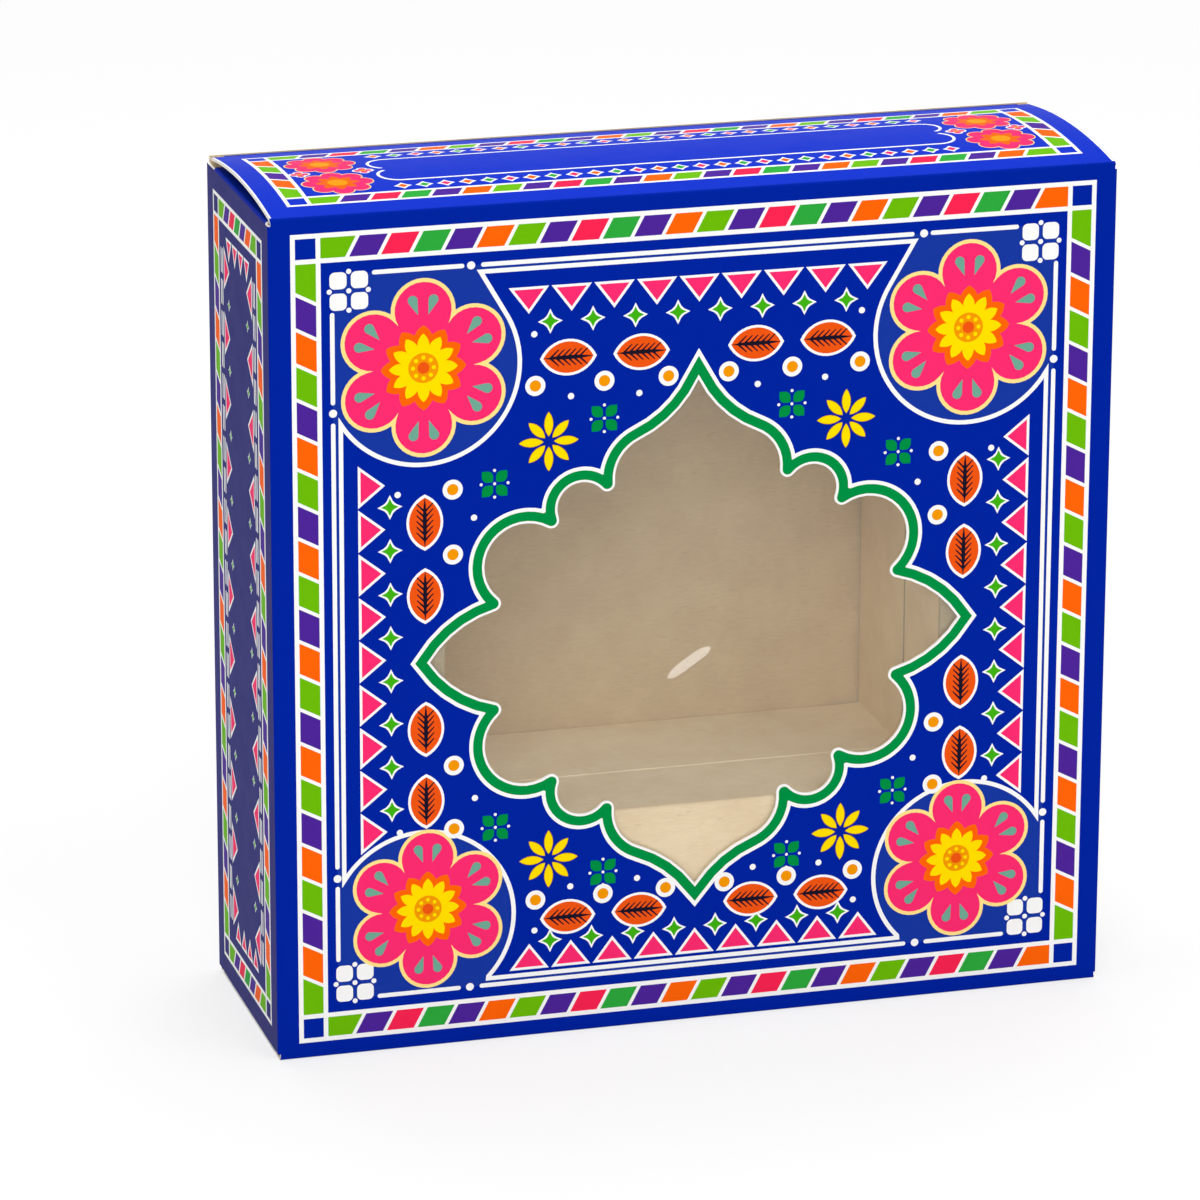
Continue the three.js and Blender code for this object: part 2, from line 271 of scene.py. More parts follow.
@dataclass(frozen=True)
class UncoatedBoard:
    """The unprinted back of duplex board: matt beige pulp with long fibres, small dark flecks and a
    slightly cloudy tone."""

    name: str = "uncoated_duplex_board"
    pale: str = "#F8E3BE"
    deep: str = "#ECD4AD"
    fleck: str = "#A88F6C"
    cloud_mm: float = 9.0
    fibre_mm: float = 0.35
    fibre_stretch: float = 0.18
    fibre_share: float = 0.45
    tone_range: tuple[float, float] = (0.36, 0.64)
    fleck_mm: float = 1.1
    fleck_rim: tuple[float, float] = (0.05, 0.12)
    fleck_depth: float = 0.35
    roughness: float = 0.88
    specular: float = 0.2
    relief_mm: float = 0.02
    relief_strength: float = 0.7

    def material(self) -> bpy.types.Material:
        """Makes the finish, once.

        Returns:
            The material.
        """
        if self.name in bpy.data.materials:
            return bpy.data.materials[self.name]
        material, tree, output = new_material(self.name)
        place = add_node(tree, "ShaderNodeTexCoord").outputs["Object"]
        cloud = add_node(
            tree,
            "ShaderNodeTexNoise",
            {"Scale": per_mm(self.cloud_mm), "Detail": 4.0, "Roughness": 0.6},
            {"Vector": place},
        )
        along = add_node(
            tree,
            "ShaderNodeMapping",
            {"Scale": (self.fibre_stretch, 1.0, 1.0)},
            {"Vector": place},
        )
        fibre = add_node(
            tree,
            "ShaderNodeTexNoise",
            {"Scale": per_mm(self.fibre_mm), "Detail": 3.0},
            {"Vector": along.outputs["Vector"]},
        )
        blend = add_node(
            tree,
            "ShaderNodeMix",
            {"data_type": "FLOAT", "Factor": self.fibre_share},
            {"A": cloud.outputs["Fac"], "B": fibre.outputs["Fac"]},
        )
        spread = add_node(
            tree,
            "ShaderNodeMapRange",
            {"From Min": self.tone_range[0], "From Max": self.tone_range[1]},
            {"Value": blend.outputs["Result"]},
        )
        ground = add_node(
            tree,
            "ShaderNodeMix",
            {"data_type": "RGBA", 6: linear(self.deep), 7: linear(self.pale)},
            {0: spread.outputs["Result"]},
        )
        specks = add_node(
            tree,
            "ShaderNodeTexVoronoi",
            {"Scale": per_mm(self.fleck_mm), "Randomness": 1.0},
            {"Vector": along.outputs["Vector"]},
        )
        mask = add_node(
            tree,
            "ShaderNodeMapRange",
            {
                "From Min": self.fleck_rim[0],
                "From Max": self.fleck_rim[1],
                "To Min": self.fleck_depth,
                "To Max": 0.0,
            },
            {"Value": specks.outputs["Distance"]},
        )
        colour = add_node(
            tree,
            "ShaderNodeMix",
            {"data_type": "RGBA", 7: linear(self.fleck)},
            {0: mask.outputs["Result"], 6: ground.outputs[2]},
        )
        bump = add_node(
            tree,
            "ShaderNodeBump",
            {"Strength": self.relief_strength, "Distance": self.relief_mm * MM},
            {"Height": fibre.outputs["Fac"]},
        )
        shader = add_node(
            tree,
            "ShaderNodeBsdfPrincipled",
            {"Roughness": self.roughness, "Specular IOR Level": self.specular},
            {"Base Color": colour.outputs[2], "Normal": bump.outputs["Normal"]},
        )
        tree.links.new(shader.outputs["BSDF"], output.inputs["Surface"])
        return material


# Board tones: the carton's inside darker than the cheeks and apron as painted shade, the deck lighter as
# painted light from above, and the wings darker still as painted shade.
LINER = UncoatedBoard("uncoated_duplex_liner", "#E7D2AD", "#DBC39E")
PAINTED_LIGHT_DECK_BOARD = UncoatedBoard("calendered_duplex_board", "#FFF1D2", "#F6E2BF")
CHEEK_BOARD = UncoatedBoard()
PAINTED_SHADE_BOARD = UncoatedBoard("recycled_grey_back_board", "#B4A387", "#A99879")


@dataclass(frozen=True)
class ClearFilm:
    """Calendered clear polyester film: almost unseen, with sharp pale reflections where it ripples."""

    tint: str = "#FBFBFA"
    roughness: float = 0.06
    reflectance: float = 0.04
    grazing_power: float = 5.0

    def material(self) -> bpy.types.Material:
        """Makes the finish, once.

        Returns:
            The material.
        """
        name = "calendered_clear_film"
        if name in bpy.data.materials:
            return bpy.data.materials[name]
        material, tree, output = new_material(name)
        facing = add_node(tree, "ShaderNodeLayerWeight", {"Blend": 0.5})
        edge = add_node(
            tree,
            "ShaderNodeMath",
            {"operation": "POWER", 1: self.grazing_power},
            {0: facing.outputs["Facing"]},
        )
        share = add_node(
            tree,
            "ShaderNodeMapRange",
            {"To Min": self.reflectance, "To Max": 1.0},
            {"Value": edge.outputs[0]},
        )
        clear = add_node(tree, "ShaderNodeBsdfTransparent", {"Color": linear(self.tint)})
        gloss = add_node(
            tree,
            "ShaderNodeBsdfGlossy",
            {"Color": WHITE_LIGHT, "Roughness": self.roughness},
        )
        mix = add_node(
            tree,
            "ShaderNodeMixShader",
            None,
            {0: share.outputs[0], 1: clear.outputs[0], 2: gloss.outputs[0]},
        )
        tree.links.new(mix.outputs[0], output.inputs["Surface"])
        return material


@dataclass(frozen=True)
class DriedGlue:
    """Dried white dispersion glue, rolled on thin: a pale satin smear with an uneven gloss."""

    colour: str = "#E6DFCB"
    roughness: tuple[float, float] = (0.3, 0.65)
    streak_mm: float = 1.5

    def material(self) -> bpy.types.Material:
        """Makes the finish, once.

        Returns:
            The material.
        """
        name = "dried_dispersion_glue"
        if name in bpy.data.materials:
            return bpy.data.materials[name]
        material, tree, output = new_material(name)
        place = add_node(tree, "ShaderNodeTexCoord").outputs["Object"]
        streaks = add_node(
            tree,
            "ShaderNodeTexNoise",
            {"Scale": per_mm(self.streak_mm), "Detail": 2.0},
            {"Vector": place},
        )
        rough = add_node(
            tree,
            "ShaderNodeMapRange",
            {"To Min": self.roughness[0], "To Max": self.roughness[1]},
            {"Value": streaks.outputs["Fac"]},
        )
        shader = add_node(
            tree,
            "ShaderNodeBsdfPrincipled",
            {"Base Color": linear(self.colour)},
            {"Roughness": rough.outputs["Result"]},
        )
        tree.links.new(shader.outputs["BSDF"], output.inputs["Surface"])
        return material


def circle(radius: float, count: int = 32) -> Outline:
    """Outlines a disc round the origin."""
    turns = [math.tau * i / count for i in range(count)]
    return [(radius * math.cos(t), radius * math.sin(t)) for t in turns]


def rectangle(left: float, low: float, right: float, high: float) -> Outline:
    """Outlines a rectangle."""
    return [(left, low), (right, low), (right, high), (left, high)]


def arc(centre: Point, radius: float, first: float, last: float, count: int = 24) -> Outline:
    """Gives points along an arc.

    Args:
        centre: the arc's centre.
        radius: the arc's radius.
        first: the first point's angle in degrees.
        last: the last point's angle in degrees.
        count: the number of steps.

    Returns:
        count + 1 points.
    """
    angles = [math.radians(first + (last - first) * i / count) for i in range(count + 1)]
    return [(centre[0] + radius * math.cos(a), centre[1] + radius * math.sin(a)) for a in angles]


def capsule(length: float, width: float) -> Outline:
    """Outlines a round-ended bar along u."""
    reach, radius = (length - width) / 2, width / 2
    return arc((reach, 0), radius, -90, 90, 8) + arc((-reach, 0), radius, 90, 270, 8)


def lens(length: float, width: float, count: int = 14) -> Outline:
    """Outlines a pointed oval along u, made of two arcs.

    Args:
        length: from point to point.
        width: the width at the middle.
        count: each arc's number of steps.

    Returns:
        The outline.
    """
    half, rise = length / 2, width / 2
    radius = (half**2 + rise**2) / (2 * rise)
    sweep = math.degrees(math.asin(half / radius))
    upper = arc((0, rise - radius), radius, 90 - sweep, 90 + sweep, count)
    lower = arc((0, radius - rise), radius, 270 - sweep, 270 + sweep, count)
    return upper[:-1] + lower[:-1]


def star(reach: float, waist: float, flare: float = 0.16) -> Outline:
    """Outlines a four-pointed star with hollow sides.

    Args:
        reach: a point's distance from the middle.
        waist: the hollow's distance from the middle.
        flare: the share by which a hollow opens towards the points.

    Returns:
        The outline.
    """
    points: Outline = []
    for quarter in range(4):
        turn = math.pi / 2 * quarter
        points.append((reach * math.cos(turn), reach * math.sin(turn)))
        for share in (0.3, 0.5, 0.7):
            angle = turn + math.pi / 2 * share
            radius = waist * (1 + flare * abs(2 * share - 1))
            points.append((radius * math.cos(angle), radius * math.sin(angle)))
    return points


def drop(length: float, width: float) -> Outline:
    """Outlines a teardrop whose point is at the origin and whose round end lies along +u.

    Args:
        length: from its point to its round end.
        width: the round end's width.

    Returns:
        The outline.
    """
    radius = width / 2
    centre = length - radius
    lean = math.degrees(math.acos(radius / centre))
    return [(0.0, 0.0)] + arc((centre, 0), radius, lean - 180, 180 - lean, 14)


def moved(outline: Outline, at: Point, turn: float = 0.0, mirror: Point = (1, 1)) -> Outline:
    """Mirrors, turns and moves an outline, and keeps it anticlockwise.

    Args:
        outline: the points.
        at: where the origin goes.
        turn: the turn in degrees.
        mirror: factors of 1 or -1 on u and v, used before the turn.

    Returns:
        The new outline.
    """
    c, s = math.cos(math.radians(turn)), math.sin(math.radians(turn))
    flat = [(u * mirror[0], v * mirror[1]) for u, v in outline]
    points = [(at[0] + c * u - s * v, at[1] + s * u + c * v) for u, v in flat]
    return points if mirror[0] * mirror[1] > 0 else points[::-1]


def grown(outline: Outline, distance: float, step: float = 0.3) -> Outline:
    """Offsets a closed outline, with mitred points and clean notches.

    Args:
        outline: the anticlockwise outline.
        distance: how far out, or how far in where it is negative.
        step: the spacing of the samples.

    Returns:
        The offset outline.
    """
    # A turn with a larger sine than sharp gets a mitred point. A sample may lie nearer by slack.
    sharp, slack = 0.3, 0.02
    corners = np.array(outline)
    ahead = np.roll(corners, -1, 0) - corners
    lengths = np.linalg.norm(ahead, axis=1)
    ahead = ahead / lengths[:, None]
    outward = np.stack([ahead[:, 1], -ahead[:, 0]], 1)
    samples: list[np.ndarray] = []
    for i, corner in enumerate(corners):
        before = outward[i - 1]
        bisector = before + outward[i]
        if before @ np.array([-outward[i][1], outward[i][0]]) < -sharp:
            samples.append(corner + bisector * distance / (1 + before @ outward[i]))
        count = max(1, int(lengths[i] / step))
        along = (np.arange(count) + 0.5) / count * lengths[i]
        samples.extend(corner + ahead[i] * a + outward[i] * distance for a in along)
    points = np.array(samples)
    offsets = points[:, None] - corners[None]
    share = np.clip((offsets * ahead[None]).sum(2), 0, lengths[None])
    gaps = np.linalg.norm(offsets - share[..., None] * ahead[None], axis=2).min(1)
    return [(float(u), float(v)) for u, v in points[gaps > abs(distance) - slack]]


class Spread(Enum):
    """The ways in which a printed mark repeats."""

    ROW = "row_of_marks"
    RING = "ring_of_marks"


class MarkPress:
    """Repeats printed marks with Geometry Nodes: evenly along a line, or round a centre."""

    INPUTS = {
        "Mark": "NodeSocketObject",
        "Ink": "NodeSocketMaterial",
        "Count": "NodeSocketInt",
        "Start": "NodeSocketVector",
        "Step": "NodeSocketVector",
        "Radius": "NodeSocketFloat",
        "Turn": "NodeSocketFloat",
    }

    def __init__(self) -> None:
        """Builds one tree for each way of repeating."""
        self.trees = {spread: self._tree(spread) for spread in Spread}

    def _tree(self, spread: Spread) -> bpy.types.NodeTree:
        """Builds a tree that sets copies of a mark on points.

        Args:
            spread: a line of points, or a circle of them.

        Returns:
            The geometry tree.
        """
        tree = bpy.data.node_groups.new(spread.value, "GeometryNodeTree")
        for name, kind in self.INPUTS.items():
            tree.interface.new_socket(name, in_out="INPUT", socket_type=kind)
        tree.interface.new_socket("Marks", in_out="OUTPUT", socket_type="NodeSocketGeometry")
        given = add_node(tree, "NodeGroupInput").outputs
        mark = add_node(tree, "GeometryNodeObjectInfo", None, {"Object": given["Mark"]})
        turn = given["Turn"]
        if spread is Spread.ROW:
            points = add_node(
                tree,
                "GeometryNodeMeshLine",
                {"mode": "OFFSET"},
                {"Count": given["Count"], "Start Location": given["Start"], "Offset": given["Step"]},
            ).outputs["Mesh"]
        else:
            points = add_node(
                tree,
                "GeometryNodeMeshCircle",
                None,
                {"Vertices": given["Count"], "Radius": given["Radius"]},
            ).outputs["Mesh"]
            index = add_node(tree, "GeometryNodeInputIndex").outputs[0]
            circle_share = add_node(
                tree, "ShaderNodeMath", {"operation": "DIVIDE"}, {0: index, 1: given["Count"]}
            )
            turn = add_node(
                tree,
                "ShaderNodeMath",
                {"operation": "MULTIPLY_ADD", 1: math.tau},
                {0: circle_share.outputs[0], 2: turn},
            ).outputs[0]
        axis = add_node(tree, "ShaderNodeCombineXYZ", None, {"Z": turn})
        copies = add_node(
            tree,
            "GeometryNodeInstanceOnPoints",
            None,
            {
                "Points": points,
                "Instance": mark.outputs["Geometry"],
                "Rotation": axis.outputs["Vector"],
            },
        )
        real = add_node(
            tree, "GeometryNodeRealizeInstances", None, {"Geometry": copies.outputs["Instances"]}
        )
        inked = add_node(
            tree,
            "GeometryNodeSetMaterial",
            None,
            {"Geometry": real.outputs["Geometry"], "Material": given["Ink"]},
        )
        add_node(tree, "NodeGroupOutput", None, {"Marks": inked.outputs["Geometry"]})
        return tree

    def repeat(self, spread: Spread, outline: Outline, values: dict[str, Any]) -> list[Outline]:
        """Repeats one mark.

        Args:
            spread: how it repeats.
            outline: the mark, round its own origin.
            values: the tree's inputs by name, apart from the mark itself.

        Returns:
            The outlines of the copies.
        """
        shape = bpy.data.meshes.new("mark")
        shape.from_pydata([(u, v, 0) for u, v in outline], [], [list(range(len(outline)))])
        mark = bpy.data.objects.new("mark", shape)
        host = bpy.data.objects.new("marks", bpy.data.meshes.new("marks"))
        for thing in (mark, host):
            bpy.context.scene.collection.objects.link(thing)
        modifier = host.modifiers.new("press", "NODES")
        modifier.node_group = self.trees[spread]
        for item in self.trees[spread].interface.items_tree:
            if item.in_out == "INPUT" and item.name in {"Mark", *values}:
                modifier[item.identifier] = mark if item.name == "Mark" else values[item.name]
        seen = bpy.context.evaluated_depsgraph_get()
        mesh = bpy.data.meshes.new_from_object(host.evaluated_get(seen))
        outlines = [
            [tuple(mesh.vertices[i].co[:2]) for i in face.vertices] for face in mesh.polygons
        ]
        host.modifiers.remove(modifier)
        for thing in (mark, host):
            bpy.data.objects.remove(thing)
        bpy.data.meshes.remove(mesh)
        return outlines


PRESS = MarkPress()


@dataclass
class Artwork:
    """The marks of a print, in the order in which they are laid down, in millimetres."""

    layers: list[tuple[Ink, Outline]] = field(default_factory=list)

    def lay(self, ink: Ink, outline: Outline, at: Point = (0, 0), turn: float = 0.0) -> None:
        """Lays down one mark, turned by some degrees and moved."""
        self.layers.append((ink, moved(outline, at, turn)))

    def row(
        self, ink: Ink, outline: Outline, count: int, start: Point, step: Point, turn: float = 0.0
    ) -> None:
        """Lays down a row of equal marks.

        Args:
            ink: the marks' ink.
            outline: the mark.
            count: how many.
            start: where the first one is.
            step: from one to the next.
            turn: each mark's turn in degrees.
        """
        values = {
            "Ink": LaminatedPrint(ink).material(),
            "Count": count,
            "Start": (*start, 0.0),
            "Step": (*step, 0.0),
            "Turn": math.radians(turn),
        }
        self.layers += [(ink, o) for o in PRESS.repeat(Spread.ROW, outline, values)]

    def ring(self, ink: Ink, outline: Outline, count: int, radius: float = 0.0) -> None:
        """Lays down marks round the origin, each with its u pointing outwards.

        Args:
            ink: the marks' ink.
            outline: the mark.
            count: how many.
            radius: how far from the origin they lie.
        """
        values = {"Ink": LaminatedPrint(ink).material(), "Count": count, "Radius": radius}
        self.layers += [(ink, o) for o in PRESS.repeat(Spread.RING, outline, values)]

    def stamp(
        self, mark: "Artwork", places: Sequence[Point], turn: float = 0.0, mirror: Point = (1, 1)
    ) -> None:
        """Lays down copies of a composed mark.

        Args:
            mark: the composed mark.
            places: where its origin goes.
            turn: the turn in degrees.
            mirror: factors of 1 or -1 on u and v.
        """
        for at in places:
            self.layers += [(ink, moved(o, at, turn, mirror)) for ink, o in mark.layers]


@dataclass(frozen=True)
class BlockBorder:
    """A band of slanted colour blocks between two white lines, with a blue square at each corner."""

    half_width: float
    half_height: float
    across: int
    up: int
    centre: Point = (0.0, 0.0)
    line: float = 0.9
    band: float = 3.9
    gap: float = 0.75
    lean: float = 0.53
    across_inks: tuple[Ink, ...] = (
        Ink.LIME, Ink.PURPLE, Ink.RED_PINK, Ink.GREEN, Ink.PURPLE, Ink.ORANGE,
    )
    up_inks: tuple[Ink, ...] = (Ink.LIME, Ink.ORANGE, Ink.PURPLE)
    ground: Ink = Ink.ROYAL_BLUE

    @property
    def width(self) -> float:
        """The whole band's width with its two lines."""
        return self.band + 2 * self.line

    def draw(self, art: Artwork) -> None:
        """Lays the border down.

        Args:
            art: the artwork.
        """
        u, v = self.centre
        w, h = self.half_width, self.half_height
        art.lay(Ink.WHITE, rectangle(u - w, v - h, u + w, v + h))
        w, h = w - self.width, h - self.width
        art.lay(self.ground, rectangle(u - w, v - h, u + w, v + h))
        middle = self.line + self.band / 2
        square = rectangle(-self.band / 2, -self.band / 2, self.band / 2, self.band / 2)
        for su in (-1, 1):
            for sv in (-1, 1):
                corner = (u + su * (self.half_width - middle), v + sv * (self.half_height - middle))
                art.lay(self.ground, square, corner)
            self._run(art, (u, v + su * (self.half_height - middle)), w, self.across, 0)
            self._run(art, (u + su * (self.half_width - middle), v), h, self.up, 90)

    def _run(self, art: Artwork, middle: Point, half: float, count: int, turn: float) -> None:
        """Lays down one side's blocks.

        Args:
            art: the artwork.
            middle: the middle of the side's band.
            half: half of the run between the corner squares.
            count: the number of whole blocks.
            turn: 0 for a level side and 90 for an upright one.
        """
        inks = self.across_inks if turn == 0 else self.up_inks
        shift = self.lean * self.band / 2
        pitch = 2 * half / count
        top, reach = self.band / 2, (pitch - self.gap) / 2
        end = pitch / 2
        left = [(-reach + shift, top), (-reach - shift, -top)]
        right = [(reach - shift, -top), (reach + shift, top)]
        middle_block = left + right
        first_block = [(-end, top), (-end, -top)] + right
        last_block = left + [(end, -top), (end, top)]
        c, s = math.cos(math.radians(turn)), math.sin(math.radians(turn))
        places = [-half + pitch * (k + 0.5) for k in range(count)]
        spots = [(middle[0] + c * a, middle[1] + s * a) for a in places]
        step = (c * pitch * len(inks), s * pitch * len(inks))
        for i, ink in enumerate(inks):
            begin = i if i else len(inks)
            number = len(range(begin, count - 1, len(inks)))
            art.row(ink, middle_block, number, spots[begin], step, turn)
        art.lay(inks[0], first_block, spots[0], turn)
        art.lay(inks[(count - 1) % len(inks)], last_block, spots[-1], turn)


NARROW_BAND = {"line": 0.75, "band": 3.3, "gap": 0.7}


@dataclass(frozen=True)
class Bunting:
    """A row of pink triangles with white outlines, whose bases lie on a line."""

    base: float = 7.8
    height: float = 5.2
    outline: float = 0.5

    def draw(self, art: Artwork, count: int, start: Point, step: Point, turn: float) -> None:
        """Lays down a row.

        Args:
            art: the artwork.
            count: the number of triangles.
            start: the middle of the first base.
            step: from one to the next.
            turn: 0 where they hang down, in degrees.
        """
        half, tip = self.base / 2, -self.height
        low = tip + self.outline * math.hypot(half, self.height) / half
        art.row(Ink.WHITE, [(-half, 0), (0, tip), (half, 0)], count, start, step, turn)
        reach = half * (low + self.outline) / tip
        pink = [(-reach, -self.outline), (0, low), (reach, -self.outline)]
        art.row(Ink.PINK, pink, count, start, step, turn)


def egg_dot(radius: float = 1.95, yolk: float = 1.1) -> Artwork:
    """Composes a white disc with an orange middle.

    Args:
        radius: the disc's radius.
        yolk: the middle's radius.

    Returns:
        The mark.
    """
    mark = Artwork()
    mark.lay(Ink.WHITE, circle(radius, 28))
    mark.lay(Ink.EGG_ORANGE, circle(yolk, 20))
    return mark


@dataclass(frozen=True)
class VeinedLeaf:
    """An orange leaf along u with a white outline, a dark rib and slanted veins."""

    outline: Point = (11.0, 7.1)
    blade: Point = (9.7, 6.1)
    rib: Point = (9.9, 0.8)
    vein_count: int = 6
    vein_length: float = 2.3
    vein_half: Point = (0.22, 0.1)
    vein_start: float = -3.5
    vein_pitch: float = 1.12
    vein_slant: float = 44.0

    def compose(self) -> Artwork:
        """Composes the leaf.

        Returns:
            The mark.
        """
        mark = Artwork()
        mark.lay(Ink.WHITE, lens(*self.outline))
        mark.lay(Ink.LEAF_ORANGE, lens(*self.blade))
        mark.lay(Ink.LEAF_RIB, lens(*self.rib, 6))
        root, tip = self.vein_half
        vein = [(0, -root), (self.vein_length, -tip), (self.vein_length, tip), (0, root)]
        start, step = (self.vein_start, 0.0), (self.vein_pitch, 0.0)
        for slant in (self.vein_slant, -self.vein_slant):
            mark.row(Ink.LEAF_RIB, vein, self.vein_count, start, step, slant)
        return mark


def yellow_flower(width: float = 1.85, hollow: float = 0.95, line: float = 0.24) -> Artwork:
    """Composes a flower of eight pointed yellow petals with fine dark outlines.

    Args:
        width: a petal's width.
        hollow: the bare middle's radius.
        line: how much smaller the yellow is than its outline.

    Returns:
        The mark.
    """
    mark = Artwork()
    for length, first in ((4.9, 0.0), (4.6, 45.0)):
        for ink, less in ((Ink.OCHRE, 0.0), (Ink.YELLOW, line)):
            ring = Artwork()
            ring.ring(ink, lens(length - less, width - less), 4, hollow + length / 2)
            mark.stamp(ring, [(0, 0)], first)
    return mark


def rounded_square(size: float) -> Outline:
    """Outlines a round-cornered square from the origin into +u, +v.

    Args:
        size: its side.

    Returns:
        The outline.
    """
    near, far = size * 0.3, size * 0.7
    corners = ((near, near, 180), (far, near, 270), (far, far, 0), (near, far, 90))
    return [p for u, v, turn in corners for p in arc((u, v), near, turn, turn + 90, 5)]


def pointed_petal(size: float) -> Outline:
    """Outlines a petal from the origin into +u, +v, with round sides and one sharp tip.

    Args:
        size: its extent along u and v.

    Returns:
        The outline.
    """
    near, side = 0.2 * size, 0.52 * size
    points = arc((near, near), near, 180, 270, 4)
    points += arc((size - side, side), side, 270, 360, 8) + [(size, size)]
    return points + arc((side, size - side), side, 90, 180, 8)


def floret(ink: Ink, petal: Outline, gap: float, dot: float, reach: float) -> Artwork:
    """Composes four petals with five white dots between them.

    Args:
        ink: the petals' ink.
        petal: a petal, from the origin into +u, +v.
        gap: the gap between two petals.
        dot: a dot's radius.
        reach: the outer dots' distance from the middle.

    Returns:
        The mark.
    """
    mark = Artwork()
    mark.ring(ink, moved(petal, (gap / 2, gap / 2)), 4)
    mark.ring(Ink.WHITE, circle(dot, 12), 4, reach)
    mark.lay(Ink.WHITE, circle(dot, 12))
    return mark


def green_star(outer: Point = (2.4, 1.25), inner: Point = (1.7, 0.85)) -> Artwork:
    """Composes a small green star with a white outline.

    Args:
        outer: the outline's reach and waist.
        inner: the green star's reach and waist.

    Returns:
        The mark.
    """
    mark = Artwork()
    mark.lay(Ink.WHITE, star(*outer))
    mark.lay(Ink.STAR_GREEN, star(*inner))
    return mark


def scalloped(reach: float, lobe: float, count: int = 6) -> Outline:
    """Outlines a flower of round lobes.

    Args:
        reach: the lobes' distance from the middle.
        lobe: the lobes' radius.
        count: the number of lobes, of which one points up.

    Returns:
        The outline.
    """
    half = math.pi / count
    chord = reach * math.sin(half)
    notch = reach * math.cos(half) + math.sqrt(max(lobe**2 - chord**2, 0))
    open_angle = math.degrees(
        math.atan2(notch * math.sin(half), notch * math.cos(half) - reach)
    )
    points: Outline = []
    for i in range(count):
        lean = 90 + 360 / count * i
        centre = (reach * math.cos(math.radians(lean)), reach * math.sin(math.radians(lean)))
        points += arc(centre, lobe, lean - open_angle, lean + open_angle, 18)[:-1]
    return points


@dataclass(frozen=True)
class Rosette:
    """A corner flower: pink lobes with teal drops, round layers of orange and yellow petals.

    A size of 1 reaches 17.3 mm from the middle.
    """

    size: float
    lobe: float = 5.45
    lobe_line: float = 0.75
    lobe_reach: float = 11.05
    tear: Point = (4.0, 1.9)
    tear_reach: float = 10.2
    tear_aside: float = 0.35
    tear_lean: float = 16.0
    tear_turn: float = 3.5
    petal_count: int = 12
    outer_petal: Point = (6.4, 3.9)
    outer_reach: float = 5.0
    outer_disc: float = 5.6
    inner_petal: Point = (4.6, 2.3)
    inner_reach: float = 4.3
    inner_disc: float = 2.9
    bead: float = 0.42
    bead_count: int = 8
    bead_reach: float = 2.0
    middle_disc: float = 1.15

    def compose(self) -> Artwork:
        """Composes the flower.

        Returns:
            The mark.
        """
        mark = Artwork()
        mark.lay(Ink.CREAM, scalloped(self.lobe_reach, self.lobe + self.lobe_line))
        mark.lay(Ink.PINK, scalloped(self.lobe_reach, self.lobe))
        for side in (-1, 1):
            tear = moved(drop(*self.tear), (0, self.tear_aside * side), self.tear_lean * side)
            ring = Artwork()
            ring.ring(Ink.TEAL, tear, 6, self.tear_reach)
            mark.stamp(ring, [(0, 0)], 90 + self.tear_turn * side)
        mark.ring(Ink.ORANGE, lens(*self.outer_petal), self.petal_count, self.outer_reach)
        mark.lay(Ink.ORANGE, circle(self.outer_disc))
        mark.ring(Ink.YELLOW, lens(*self.inner_petal), self.petal_count, self.inner_reach)
        mark.lay(Ink.EGG_ORANGE, circle(self.inner_disc))
        mark.ring(Ink.YELLOW, circle(self.bead, 10), self.bead_count, self.bead_reach)
        mark.lay(Ink.LEAF_ORANGE, circle(self.middle_disc, 20))
        scaled = [(ink, [(u * self.size, v * self.size) for u, v in o]) for ink, o in mark.layers]
        return Artwork(scaled)


@dataclass(frozen=True)
class Bay:
    """A corner bay of the front, as for the corner at +u and +v.

    The inner frame line runs round it in an arc, from its upright stretch to its level stretch. The
    outer frame line is broken beside it by a dot and a shorter line on each side.
    """

    centre: Point
    radius: float
    level_end: float
    upright_end: float
    lip: float
    flower: Point
    flower_size: float
    dots: Point
    level_line: Point
    upright_line: Point

    def recess(self, level: float) -> Outline:
        """Traces the inner frame line round the bay.

        Args:
            level: the level stretch's place along v.

        Returns:
            The points from the upright to the level stretch.
        """
        return arc(self.centre, self.radius, self.upright_end, self.level_end, 48) + [(self.lip, level)]


UPPER_BAY = Bay(
    centre=(53.3, 52.1),
    radius=18.5,
    level_end=149,
    upright_end=329,
    lip=42.3,
    flower=(53.3, 52.3),
    flower_size=1.0,
    dots=(44.1, 44.8),
    level_line=(45.4, 63.0),
    upright_line=(46.4, 64.1),
)
LOWER_BAY = Bay(
    centre=(54.1, 57.0),
    radius=18.0,
    level_end=136,
    upright_end=327.6,
    lip=41.2,
    flower=(53.0, 54.6),
    flower_size=0.93,
    dots=(44.8, 46.8),
    level_line=(46.6, 63.0),
    upright_line=(48.4, 63.6),
)


@dataclass(frozen=True)
class LevelRows:
    """How far from the window's middle the level rows of marks lie, above it or below it."""

    side: int
    turn: float
    flags: float
    stars: float
    leaves: float
    eggs: float
    dots: tuple[Point, ...]


UPPER_ROWS = LevelRows(
    side=1,
    turn=0,
    flags=71.7,
    stars=64.8,
    leaves=57.6,
    eggs=52.5,
    dots=((24.9, 50.0), (11.6, 49.6), (32.0, 62.5)),
)
LOWER_ROWS = LevelRows(
    side=-1,
    turn=180,
    flags=63.6,
    stars=58.1,
    leaves=53.6,
    eggs=49.6,
    dots=((24.9, 47.5), (11.6, 47.1), (32.0, 55.8)),
)


